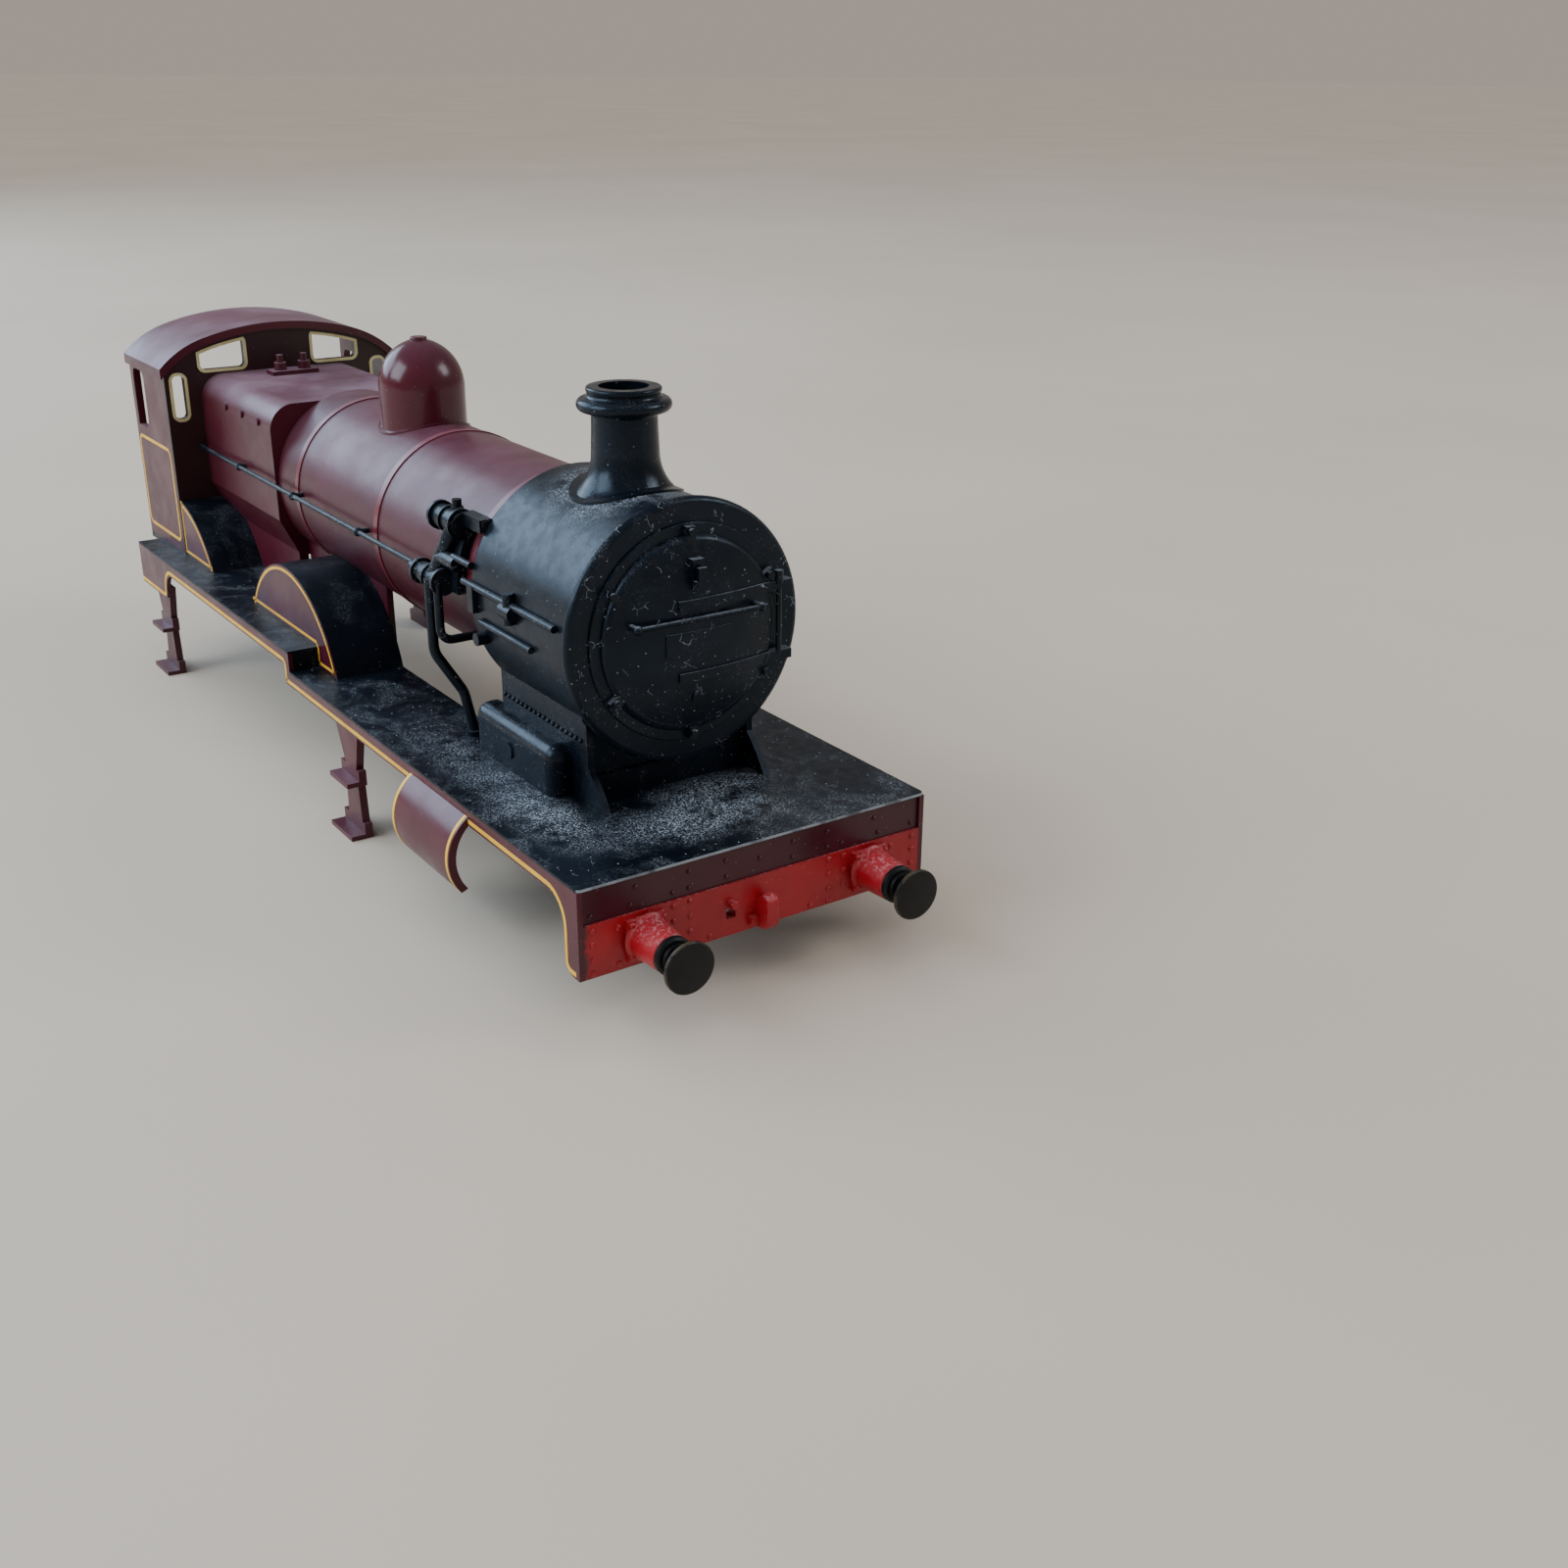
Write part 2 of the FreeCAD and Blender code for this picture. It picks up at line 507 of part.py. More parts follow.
# lubricator pipe runs along the smokebox side
pipe_y = SMOKEBOX_R + 0.15
runs = [rod_x(0.33, -31.4, -14.1, -pipe_y, BOILER_Z + 1.5),
        rod_x(0.3, -28.4, -18.6, -pipe_y + 0.05, BOILER_Z - 1.6),
        rod_z(0.5, BOILER_Z - 0.2, BOILER_Z + 2.6, -22.3, -pipe_y - 0.1),
        rod_x(0.7, -23.3, -21.3, -pipe_y - 0.1, BOILER_Z + 0.9),
        rod_y(0.6, -pipe_y - 0.5, -10.6, -28.5, BOILER_Z - 3.2),
        box(-30.0, -28.9, -pipe_y - 0.4, -10.8, BOILER_Z - 0.9, BOILER_Z + 1.6)]
runs = [r.cut(rod_x(SMOKEBOX_R, SMOKEBOX_REAR_X, 0, 0, BOILER_Z)) for r in runs]
keep_pair("smokebox_pipes", joined(runs).cut(rod_x(BOILER_R, -60, 0, 0, BOILER_Z)))

# ---------------------------------------------------------------- chimney
chimney = turned_z([
    (0, BOILER_Z + 9.0), (4.9, BOILER_Z + 9.0), (4.8, 25.3), ("arc", (3.5, 26.85), (3.0, 28.8)),
    (2.88, 32.1), ("arc", (3.1, 32.45), (3.6, 32.5)),
    ("arc", (4.15, 33.1), (3.6, 33.65)), ("arc", (3.3, 33.75), (3.2, 34.0)),
    (3.3, 34.3), ("arc", (3.25, 34.52), (3.05, CHIMNEY_TOP)), (0, CHIMNEY_TOP)], CHIMNEY_X, 0)
chimney_foot = rod_z(5.05, BOILER_Z, 30, CHIMNEY_X, 0)
chimney_foot = chimney_foot.common(rod_x(SMOKEBOX_R + 0.2, -30, -12.5, 0, BOILER_Z))
chimney = joined([chimney, chimney_foot])
chimney = chimney.cut(rod_x(SMOKEBOX_R, -60, 0, 0, BOILER_Z))
chimney = chimney.cut(rod_z(2.2, 29.5, 36, CHIMNEY_X, 0))
keep("chimney", chimney)

# ---------------------------------------------------------------- boiler, bands, dome
boiler = rod_x(BOILER_R, FIREBOX_FRONT_X, SMOKEBOX_REAR_X, 0, BOILER_Z)
boiler_bore = rod_x(BOILER_R - BOILER_WALL, FIREBOX_FRONT_X - 1, -12.4, 0, BOILER_Z)
keep("boiler_barrel", joined([boiler, rod_x(BOILER_R, SMOKEBOX_REAR_X, -24.0, 0, BOILER_Z)])
     .cut(boiler_bore))

bands = []
for x in (-33.0, -55.0, -77.0):
    band = rod_x(BOILER_R + 0.12, x - 0.45, x + 0.45, 0, BOILER_Z)
    bands.append(band.cut(rod_x(BOILER_R, -90, -20, 0, BOILER_Z)))
keep("boiler_bands", Part.makeCompound(bands))

dome = turned_z([
    (0, BOILER_Z + 7), (DOME_R, BOILER_Z + 7), (DOME_R, 28.5),
    ("arc", (3.2, 31.65), (0.9, DOME_TOP - 0.05)), (0.9, DOME_TOP + 0.12),
    ("arc", (0.84, DOME_TOP + 0.24), (0.7, DOME_TOP + 0.28)), (0, DOME_TOP + 0.28)], DOME_X, 0)
dome_foot = rod_z(DOME_R + 0.35, BOILER_Z + 5, 30, DOME_X, 0)
dome_foot = dome_foot.common(rod_x(BOILER_R + 0.2, -75, -50, 0, BOILER_Z))
keep("dome", joined([dome, dome_foot]).cut(rod_x(BOILER_R, -90, -20, 0, BOILER_Z)))

# ---------------------------------------------------------------- firebox
FB_LEDGE_Z = 11.0
FB_FOOT = 8.3
firebox_outline = [
    (-FB_FOOT, HIGH_Z), (-FB_FOOT, 7.0), (-FIREBOX_HALF, FB_LEDGE_Z), (-FIREBOX_HALF, 21.2),
    ("arc", (-9.35, 23.2), (-7.3, FIREBOX_TOP)), (7.3, FIREBOX_TOP),
    ("arc", (9.35, 23.2), (FIREBOX_HALF, 21.2)), (FIREBOX_HALF, FB_LEDGE_Z), (FB_FOOT, 7.0),
    (FB_FOOT, HIGH_Z)]
firebox = cross_prism(firebox_outline, CAB_FRONT_X, FIREBOX_FRONT_X)
hollow = cross_prism([
    (-7.2, 0), (-7.2, 7.3), (-8.9, 11.3), (-8.9, 20.8), (-7.0, 22.6), (7.0, 22.6), (8.9, 20.8),
    (8.9, 11.3), (7.2, 7.3), (7.2, 0)], CAB_FRONT_X - 1, FIREBOX_FRONT_X - 1.1)
firebox = firebox.cut(hollow)
firebox = firebox.cut(box(-84.5, -82, -7.2, 7.2, 0, 6.6))
firebox = firebox.cut(rod_x(BOILER_R - BOILER_WALL, -85, -80, 0, BOILER_Z))
keep("firebox", firebox)

# safety valves and whistle near the cab, washout plugs along the shoulders
fittings = []
for y in (-1.5, 1.5):
    fittings.append(rod_z(0.75, FIREBOX_TOP, FIREBOX_TOP + 1.4, -102.5, y))
    fittings.append(rod_z(0.4, FIREBOX_TOP + 1.4, FIREBOX_TOP + 2.3, -102.5, y))
fittings.append(box(-103.7, -101.3, -2.9, 2.9, FIREBOX_TOP, FIREBOX_TOP + 0.5))
plugs = []
firebox_body = cross_prism(firebox_outline, CAB_FRONT_X, FIREBOX_FRONT_X)
for x in (-87.0, -92.5, -98.0):
    plug = rod_y(0.45, -FIREBOX_HALF - 0.2, -FIREBOX_HALF + 0.8, x, 21.7).cut(firebox_body)
    plugs.append(plug)
    plugs.append(other_side(plug))
keep("firebox_fittings", Part.makeCompound([joined(fittings)] + plugs))

# ---------------------------------------------------------------- cab
# The roof has a flat crown and tighter shoulders. Each concentric layer of it, and the
# window heads below, comes from one outline drawn at a depth under the outer surface.
ROOF_T = 0.9
SHOULDER_Y = 9.5
SHOULDER_DROP = 1.35
crown_r = (SHOULDER_Y ** 2 + SHOULDER_DROP ** 2) / (2 * SHOULDER_DROP)
crown_z = ROOF_TOP - crown_r
lean = math.asin(SHOULDER_Y / crown_r)
shoulder_r = 12.8
shoulder_y = SHOULDER_Y - shoulder_r * math.sin(lean)
shoulder_z = ROOF_TOP - SHOULDER_DROP - shoulder_r * math.cos(lean)
roof_half = CAB_HALF + 0.5


def under_roof(depth, x0, x1):
    """Everything below the surface that lies the given depth under the roof's outside."""
    r_in = shoulder_r - depth
    end = math.asin((roof_half - shoulder_y) / r_in)
    middle = (lean + end) / 2.0
    right = [((crown_r - depth) * math.sin(lean), crown_z + (crown_r - depth) * math.cos(lean))]
    for turn in (middle, end):
        right.append((shoulder_y + r_in * math.sin(turn), shoulder_z + r_in * math.cos(turn)))
    left = [(-y, z) for y, z in right]
    points = [(-roof_half, 0), left[2], ("arc", left[1], left[0]),
              ("arc", (0, ROOF_TOP - depth), right[0]), ("arc", right[1], right[2]), (roof_half, 0)]
    return cross_prism(points, x0, x1)


room = under_roof(ROOF_T, REAR_X - 5, CAB_FRONT_X + 5)

RIM_T = 0.35
front_sheet = box(CAB_FRONT_X - CAB_T, CAB_FRONT_X, -CAB_HALF, CAB_HALF, HIGH_Z, 32)
front_sheet = front_sheet.common(room)


def rounded_window(y0, y1, z0, z1, radius, grow=0.0):
    x0 = CAB_FRONT_X - CAB_T - 1
    window = box(x0, CAB_FRONT_X + 1, y0 - grow, y1 + grow, z0 - grow, z1 + grow)
    return window.makeFillet(radius + grow, [e for e in window.Edges if e.BoundBox.XLength > 1])


windows = []
rims = []
side_out = CAB_HALF - CAB_T
for y0, y1, z0, z1, top_gap in ((4.4, 9.95, 24.65, 28.2, 0.75),
                                (side_out - 1.5, side_out, 19.0, 24.2, 0.5)):
    clear = rounded_window(y0, y1, z0, z1, 0.6)
    framed = rounded_window(y0, y1, z0, z1, 0.6, RIM_T)
    clear = clear.common(under_roof(ROOF_T + top_gap, -130, -90))
    framed = framed.common(under_roof(ROOF_T + top_gap - RIM_T, -130, -90))
    rim = framed.cut(clear).cut(firebox_body).common(box(CAB_FRONT_X, CAB_FRONT_X + 0.15, -20, 20, 0, 40))
    windows = windows + [clear, other_side(clear)]
    rims = rims + [rim, other_side(rim)]
keep("window_rims", Part.makeCompound(rims))
bay = rod_y(SPLASHER_R, -CAB_HALF + CAB_T, -SLOT_HALF, WHEEL_X - WHEELBASE, WHEEL_Z)
for opening in windows + [bay, other_side(bay)]:
    front_sheet = front_sheet.cut(opening)
keep("cab_front", front_sheet)

# cab side: sheet below the waist, full height ahead of the cut-out, slim rear pillar
CUT_FRONT_X = -116.0
PILLAR_X = -120.3
CUT_Z = 16.4
side_top = 28.0
side = side_prism([
    (CAB_FRONT_X - CAB_T, HIGH_Z), (CAB_FRONT_X - CAB_T, side_top), (REAR_X, side_top),
    (REAR_X, HIGH_Z)], -CAB_HALF, -CAB_HALF + CAB_T)
opening = side_prism([
    (CUT_FRONT_X, 22.6), (CUT_FRONT_X, CUT_Z + 1.5),
    ("arc", (CUT_FRONT_X - 0.44, CUT_Z + 0.44), (CUT_FRONT_X - 1.5, CUT_Z)), (PILLAR_X, CUT_Z),
    (PILLAR_X, 22.6), ("arc", (PILLAR_X + 0.29, 23.31), (PILLAR_X + 1.0, 23.6)),
    (CUT_FRONT_X - 1.0, 23.6), ("arc", (CUT_FRONT_X - 0.29, 23.31), (CUT_FRONT_X, 22.6))],
    -CAB_HALF - 1, -CAB_HALF + 2)
side = side.common(room).cut(opening)
keep_pair("cab_side", side)

roof = under_roof(0, REAR_X, CAB_FRONT_X + 0.5)
roof = roof.common(box(REAR_X - 1, CAB_FRONT_X + 2, -20, 20, EAVES_Z, 40)).cut(room)
keep("cab_roof", roof)

# ---------------------------------------------------------------- splashers
# Curved top over each coupled wheel with a flat outer face; open below and inside.
inner_face = SLOT_HALF


def splasher(centre, front_x, rear_x, out, face_t):
    """Wheel cover between two X limits, standing on the stepped footplate."""
    solid = rod_y(SPLASHER_R, -out, -inner_face, centre, WHEEL_Z)
    hollow = rod_y(SPLASHER_R - SPLASHER_T, -out + face_t, -inner_face + 1, centre, WHEEL_Z)
    cover = solid.cut(hollow)
    cover = cover.common(box(rear_x, front_x, -20, 0, 0, 20))
    return cover.cut(box(-130, RISER_X, -20, 0, -20, HIGH_Z))


leading = splasher(WHEEL_X, -50, -90, SPLASHER_HALF, SPLASHER_T)
leading = leading.cut(rod_x(BOILER_R, -120, 0, 0, BOILER_Z))
keep_pair("splasher_leading", leading.cut(pieces["boiler_bands"]))
cab_inner = CAB_HALF - CAB_T
trailing = joined([
    splasher(WHEEL_X - WHEELBASE, -90, CAB_FRONT_X, SPLASHER_HALF,
             SPLASHER_HALF - cab_inner + SPLASHER_T),
    splasher(WHEEL_X - WHEELBASE, CAB_FRONT_X, REAR_X + 1.0, cab_inner, SPLASHER_T)])
keep_pair("splasher_trailing", trailing.cut(firebox_body))

# inner side sheets between the splashers and the boiler, joining it to the footplate
SHEET_IN = SLOT_HALF - 0.7
sheet = side_prism([(-60.6, 0), (-60.6, BOILER_Z), (FIREBOX_FRONT_X, BOILER_Z),
                    (FIREBOX_FRONT_X, HIGH_Z - PLATE_T), (RISER_X - PLATE_T, HIGH_Z - PLATE_T),
                    (RISER_X - PLATE_T, 0)], -SLOT_HALF, -SHEET_IN)
sheet = sheet.cut(rod_x(BOILER_R, -120, 0, 0, BOILER_Z))
keep_pair("frame_side", sheet.cut(pieces["boiler_bands"]))

# ---------------------------------------------------------------- handrails
def handrail():
    rail = rod_x(RAIL_R, CAB_FRONT_X, -38.2, -RAIL_Y, RAIL_Z)
    knobs = []
    for x in (-57.0, -75.5):
        knobs.append(rod_y(0.28, -RAIL_Y, -BOILER_R + 0.3, x, RAIL_Z))
        knobs.append(Part.makeSphere(0.48, vec(x, -RAIL_Y, RAIL_Z), vec(1, 0, 0)))
    knobs.append(rod_y(0.28, -RAIL_Y, -FIREBOX_HALF, -93.0, RAIL_Z))
    knobs.append(Part.makeSphere(0.48, vec(-93.0, -RAIL_Y, RAIL_Z), vec(1, 0, 0)))
    return joined([rail] + knobs).cut(rod_x(BOILER_R, -83, -20, 0, BOILER_Z)).cut(
        box(-107, -83, -FIREBOX_HALF, 0, 2, 20))


keep_pair("handrail", handrail())

# ---------------------------------------------------------------- ejector
# Vacuum ejector on the boiler side behind the smokebox, right-hand side only: an upper
# body, a slanting link and a lower body on a curved back plate, with two drain pipes.
def around_boiler(angle, reach):
    a = math.radians(angle)
    return -reach * math.cos(a), BOILER_Z + reach * math.sin(a)


def ejector():
    reach = BOILER_R + 1.6
    top_y, top_z = around_boiler(31, reach)
    low_y, low_z = around_boiler(2, reach)
    parts = [rod_x(1.1, -38.6, -33.8, top_y, top_z)]
    for x, radius in ((-38.9, 1.4), (-37.0, 1.3), (-34.6, 1.45)):
        parts.append(rod_x(radius, x, x + 0.4, top_y, top_z))
    parts.append(box(-34.2, SMOKEBOX_REAR_X, -9.9, -8.6, 21.0, 22.2))
    parts.append(rod_z(0.45, 21.5, 23.0, -35.9, top_y + 0.4))
    parts.append(rod_z(0.6, 21.5, 22.3, -35.9, top_y + 0.4))
    parts.append(rod_x(0.95, -40.2, -35.4, low_y, low_z))
    for x, radius in ((-40.5, 1.25), (-38.3, 1.2), (-35.8, 1.3)):
        parts.append(rod_x(radius, x, x + 0.4, low_y, low_z))
    parts.append(rod_x(0.5, -42.4, -40.0, low_y, low_z))
    parts.append(rod_x(0.7, -36.6, -33.2, *around_boiler(13, reach - 0.2)))
    link_start = vec(-37.4, low_y, low_z)
    link = vec(-35.4, top_y, top_z) - link_start
    parts.append(Part.makeCylinder(0.85, link.Length, link_start, link))
    backing = rod_x(BOILER_R + 0.9, -38.2, -34.0, 0, BOILER_Z)
    parts.append(backing.common(box(-39, -33, -12, -8.4, BOILER_Z - 0.6, 21.8)))
    parts.append(rod_x(0.35, -34.0, SMOKEBOX_REAR_X, -RAIL_Y + 0.05, BOILER_Z + 3.1))
    pipe_out = RAIL_Y + 1.1
    drain = pipe([(-37.3, -pipe_out, low_z), (-37.3, -pipe_out, 8.3), (-36.2, -9.8, 4.2),
                  (-35.5, -9.2, 0.0)], 0.5, 2.4)
    branch = pipe([(-35.7, -pipe_out + 0.1, low_z), (-35.7, -pipe_out + 0.1, 9.8),
                   (-35.7, -7.6, 9.8)], 0.42, 1.2)
    foot = rod_z(0.95, 0, 0.45, -35.5, -9.2)
    whole = joined(parts + [drain, branch, foot])
    whole = whole.cut(rod_x(BOILER_R, -60, SMOKEBOX_REAR_X, 0, BOILER_Z))
    whole = whole.cut(rod_x(SMOKEBOX_R, SMOKEBOX_REAR_X, -20, 0, BOILER_Z))
    whole = whole.cut(pieces["boiler_bands"])
    return whole.cut(box(-60, -20, -20, 0, -5, 0))


keep("ejector", ejector().cut(pieces["handrail_right"]))

# ---------------------------------------------------------------- cylinder covers
cover = cross_prism([
    (-PLATE_HALF, -0.9), ("arc", (-19.75, -4.1), (-18.75, -8.0)), (-18.1, -7.7),
    ("arc", (-19.0, -4.1), (-PLATE_HALF, -1.75))], -31.6, -19.6)
keep_pair("cylinder_cover", cover)

# ---------------------------------------------------------------- steps
def step_plate(x0, x1, top, treads):
    """Hanger behind the valance with treads that stand out from its outer face."""
    mid = (x0 + x1) / 2.0
    y_out = -PLATE_HALF + 0.3
    hanger = side_prism([
        (x0 + 0.8, top), (mid - 1.0, top - 5.0), (mid - 1.6, STEP_FOOT_Z), (mid + 2.3, STEP_FOOT_Z),
        (mid + 1.7, top - 5.0), (x1 - 1.0, top)], y_out, y_out + STEP_T)
    shelves = []
    for z, width, reach in treads:
        x_in, x_out = mid - width / 2, mid + width / 2
        shelves.append(box(x_in, x_out, y_out - reach, y_out + STEP_T, z, z + 0.5))
        shelves.append(box(x_in, x_out, y_out, y_out + STEP_T, z, z + 1.6))
    return joined([hanger] + shelves)


valance = pieces["valance_right"]
treads = ((STEP_FOOT_Z, 5.4, 1.5), (-7.4, 4.6, 1.3))
mid_steps = step_plate(-52.4, -44.2, -0.8, treads)
keep_pair("mid_steps", mid_steps.cut(valance))
rear_steps = step_plate(-112.9, -105.1, -1.6, treads)
keep_pair("rear_steps", rear_steps.cut(valance))

# ---------------------------------------------------------------- writing
os.makedirs("parts", exist_ok=True)
for name, shape in pieces.items():
    moved = shape.copy()
    moved.translate(ORIGIN * -1)
    moved.exportStep("parts/" + name + ".step")
print(len(pieces), "pieces written")
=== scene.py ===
import math

import bpy
import numpy as np
from mathutils import Matrix, Vector


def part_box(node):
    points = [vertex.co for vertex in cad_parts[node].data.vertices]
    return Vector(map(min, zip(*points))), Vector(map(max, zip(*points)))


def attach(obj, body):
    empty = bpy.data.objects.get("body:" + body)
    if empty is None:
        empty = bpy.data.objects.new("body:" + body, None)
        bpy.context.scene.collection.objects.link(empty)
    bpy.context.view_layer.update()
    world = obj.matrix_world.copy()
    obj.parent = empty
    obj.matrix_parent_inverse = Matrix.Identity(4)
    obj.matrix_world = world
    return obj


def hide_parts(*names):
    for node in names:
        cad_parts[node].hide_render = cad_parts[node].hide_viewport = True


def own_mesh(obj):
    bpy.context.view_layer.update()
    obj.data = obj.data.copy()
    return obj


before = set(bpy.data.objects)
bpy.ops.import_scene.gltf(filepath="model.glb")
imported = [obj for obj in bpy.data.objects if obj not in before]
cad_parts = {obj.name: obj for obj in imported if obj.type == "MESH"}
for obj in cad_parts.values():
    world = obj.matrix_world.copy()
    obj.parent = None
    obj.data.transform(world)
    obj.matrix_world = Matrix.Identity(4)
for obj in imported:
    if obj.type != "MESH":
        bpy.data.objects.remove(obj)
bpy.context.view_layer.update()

MM = 0.001
HANDS = (("right", -1), ("left", 1))
BEAM_DETAIL = 0.35 * MM         # the beam's box reaches this far in front of its face

# Footplate: the black moulded deck that everything else stands on. Satin plastic that
# has stood in the open, so dust lies on it in drifts and its front edge is rubbed pale.
BEAM_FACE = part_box("buffer_beam")[1].x - BEAM_DETAIL
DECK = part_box("saddle")[0].z


def spot(x, y, z):
    """A point given in millimetres from the beam face, the middle line and the low deck."""
    return Vector((BEAM_FACE + x * MM, y * MM, DECK + z * MM))


class Finish:
    """A painted or moulded surface: one shader and the few node patterns used to vary it."""

    def __init__(self, name):
        self.material = bpy.data.materials.new(name)
        self.material.use_nodes = True
        self.tree = self.material.node_tree
        self.shader = self.tree.nodes["Principled BSDF"]
        self.place = self.tree.nodes.new("ShaderNodeTexCoord").outputs["Object"]

    def node(self, kind, links=(), **values):
        made = self.tree.nodes.new(kind)
        for key, value in values.items():
            setattr(made, key, value)
        for socket, value in dict(links).items():
            if isinstance(value, bpy.types.NodeSocket):
                self.tree.links.new(value, made.inputs[socket])
            else:
                made.inputs[socket].default_value = value
        return made

    def cloud(self, size, detail=3.0, rough=0.55, warp=0.0):
        """Noise whose lumps are about size metres across."""
        return self.node("ShaderNodeTexNoise", {
            "Vector": self.place, "Scale": 0.5 / size, "Detail": detail,
            "Roughness": rough, "Distortion": warp}).outputs["Fac"]

    def cells(self, size, feature="F1", where=None, output="Distance"):
        """Scattered cells about size metres across."""
        return self.node("ShaderNodeTexVoronoi", {
            "Vector": where or self.place, "Scale": 1.0 / size}, feature=feature).outputs[output]

    def ramp(self, value, low, high, to_low=0.0, to_high=1.0):
        """Smooth step of value from low to high."""
        return self.node("ShaderNodeMapRange", {
            "Value": value, "From Min": low, "From Max": high, "To Min": to_low,
            "To Max": to_high}, interpolation_type="SMOOTHSTEP").outputs["Result"]

    def maths(self, operation, *values, clamp=False):
        """One step of arithmetic on values; clamp keeps the result from 0 to 1."""
        return self.node("ShaderNodeMath", dict(enumerate(values)), operation=operation,
                         use_clamp=clamp).outputs[0]

    def times(self, first, second):
        """Product of two values, kept from 0 to 1."""
        return self.maths("MULTIPLY", first, second, clamp=True)

    def plus(self, first, second):
        """Sum of two values, kept from 0 to 1."""
        return self.maths("ADD", first, second, clamp=True)

    def most(self, first, second):
        """The larger of two values, kept from 0 to 1."""
        return self.maths("MAXIMUM", first, second, clamp=True)

    def specks(self, size, edge, core, few, many):
        """Round specks in cells about size metres across. Each fades in from edge to core
        as its middle comes near, and a cell has one as its own number goes from few to many."""
        chosen = self.ramp(self.cells(size, output="Color"), few, many)
        return self.times(self.ramp(self.cells(size), edge, core), chosen)

    def mottled(self, size, detail, first, second, low=0.3, high=0.7):
        """Colour that drifts from first to second in patches about size metres across."""
        return self.mixed(self.ramp(self.cloud(size, detail), low, high), first, second)

    def gloss(self, size, smooth, rough, detail=3):
        """Roughness that drifts from smooth to rough in patches about size metres across."""
        return self.ramp(self.cloud(size, detail), 0.3, 0.7, smooth, rough)

    def mixed(self, factor, first, second):
        """Colour that goes from first to second as factor goes from 0 to 1."""
        made = self.node("ShaderNodeMix", data_type="RGBA")
        for socket, value in ((made.inputs[0], factor), (made.inputs[6], first),
                              (made.inputs[7], second)):
            if isinstance(value, bpy.types.NodeSocket):
                self.tree.links.new(value, socket)
            else:
                socket.default_value = (*value, 1.0) if isinstance(value, tuple) else value
        return made.outputs[2]

    def facing(self, axis):
        """Component of the surface's outward direction along axis 0, 1 or 2."""
        normal = self.node("ShaderNodeNewGeometry").outputs["Normal"]
        return self.node("ShaderNodeSeparateXYZ", {0: normal}).outputs[axis]

    def along(self, axis):
        """Position along axis 0, 1 or 2."""
        return self.node("ShaderNodeSeparateXYZ", {0: self.place}).outputs[axis]

    def away(self, centre, spread=(1, 1, 1)):
        """Distance from a centre, with each axis weighted by spread."""
        moved = self.node("ShaderNodeVectorMath", {0: self.place, 1: centre}, operation="SUBTRACT")
        weighted = self.node("ShaderNodeMapping", {"Vector": moved.outputs[0], "Scale": spread})
        return self.node("ShaderNodeVectorMath", {0: weighted.outputs[0]},
                         operation="LENGTH").outputs["Value"]

    def surface(self, colour, rough, bump=None, depth=0.0, **sockets):
        """Joins colour, roughness and relief (depth in metres) to the shader."""
        for socket, value in (("Base Color", colour), ("Roughness", rough)):
            if isinstance(value, bpy.types.NodeSocket):
                self.tree.links.new(value, self.shader.inputs[socket])
            else:
                self.shader.inputs[socket].default_value = value
        if bump is not None:
            relief = self.node("ShaderNodeBump", {"Height": bump, "Strength": 1.0,
                                                  "Distance": depth})
            self.tree.links.new(relief.outputs[0], self.shader.inputs["Normal"])
        for socket, value in sockets.items():
            self.shader.inputs[socket.replace("_", " ")].default_value = value


def put_on(finish, *nodes):
    """Gives a finish to carried-over pieces."""
    for name in nodes:
        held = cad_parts[name].data.materials
        held.clear()
        held.append(finish.material)


def both(*parts):
    """The right and left nodes of each part."""
    return [f"{part}_{hand}" for part in parts for hand, _ in HANDS]


def placed(name, data):
    """A new object in the scene."""
    made = bpy.data.objects.new(name, data)
    bpy.context.scene.collection.objects.link(made)
    return made


BLACK = (0.0018, 0.0028, 0.0054)
BLACK_WORN = (0.0038, 0.0060, 0.0108)
DUST = (0.36, 0.41, 0.47)


LINT_CELL = 1.5 * MM
LINT_CURL = 1500.0              # scale of the noise that bends the strands
LINT_SHIFT = 0.8 * MM           # how far that noise moves them


def dust_film(finish, film, heaps):
    """Cover of thin dust: patches of film, and heaps that thin out from inner to outer."""
    patches = finish.ramp(finish.cloud(2.6 * MM, 6, 0.65, warp=0.8), 0.45, 0.68, 0, film)
    for centre, spread, inner, outer, amount in heaps:
        near = finish.ramp(finish.away(centre, spread), outer, inner, 0, amount)
        near = finish.times(near, finish.ramp(finish.cloud(1.3 * MM, 6, 0.7), 0.34, 0.58))
        patches = finish.plus(patches, near)
    return patches


def lint_strands(finish, lint):
    """Thin curled strands: the edges of cells whose coordinates noise has bent."""
    curl = finish.node("ShaderNodeTexNoise", {"Vector": finish.place, "Scale": LINT_CURL,
                                              "Detail": 1.0}).outputs["Color"]
    shift = finish.node("ShaderNodeVectorMath", {0: curl, "Scale": LINT_SHIFT}, operation="SCALE")
    bent = finish.node("ShaderNodeVectorMath", {0: finish.place, 1: shift.outputs[0]},
                       operation="ADD").outputs[0]
    strand = finish.ramp(finish.cells(LINT_CELL, "DISTANCE_TO_EDGE", bent), 0.014, 0.007)
    return finish.times(strand, finish.ramp(finish.cloud(0.9 * MM, 1), 0.62, 0.65, 0, lint))


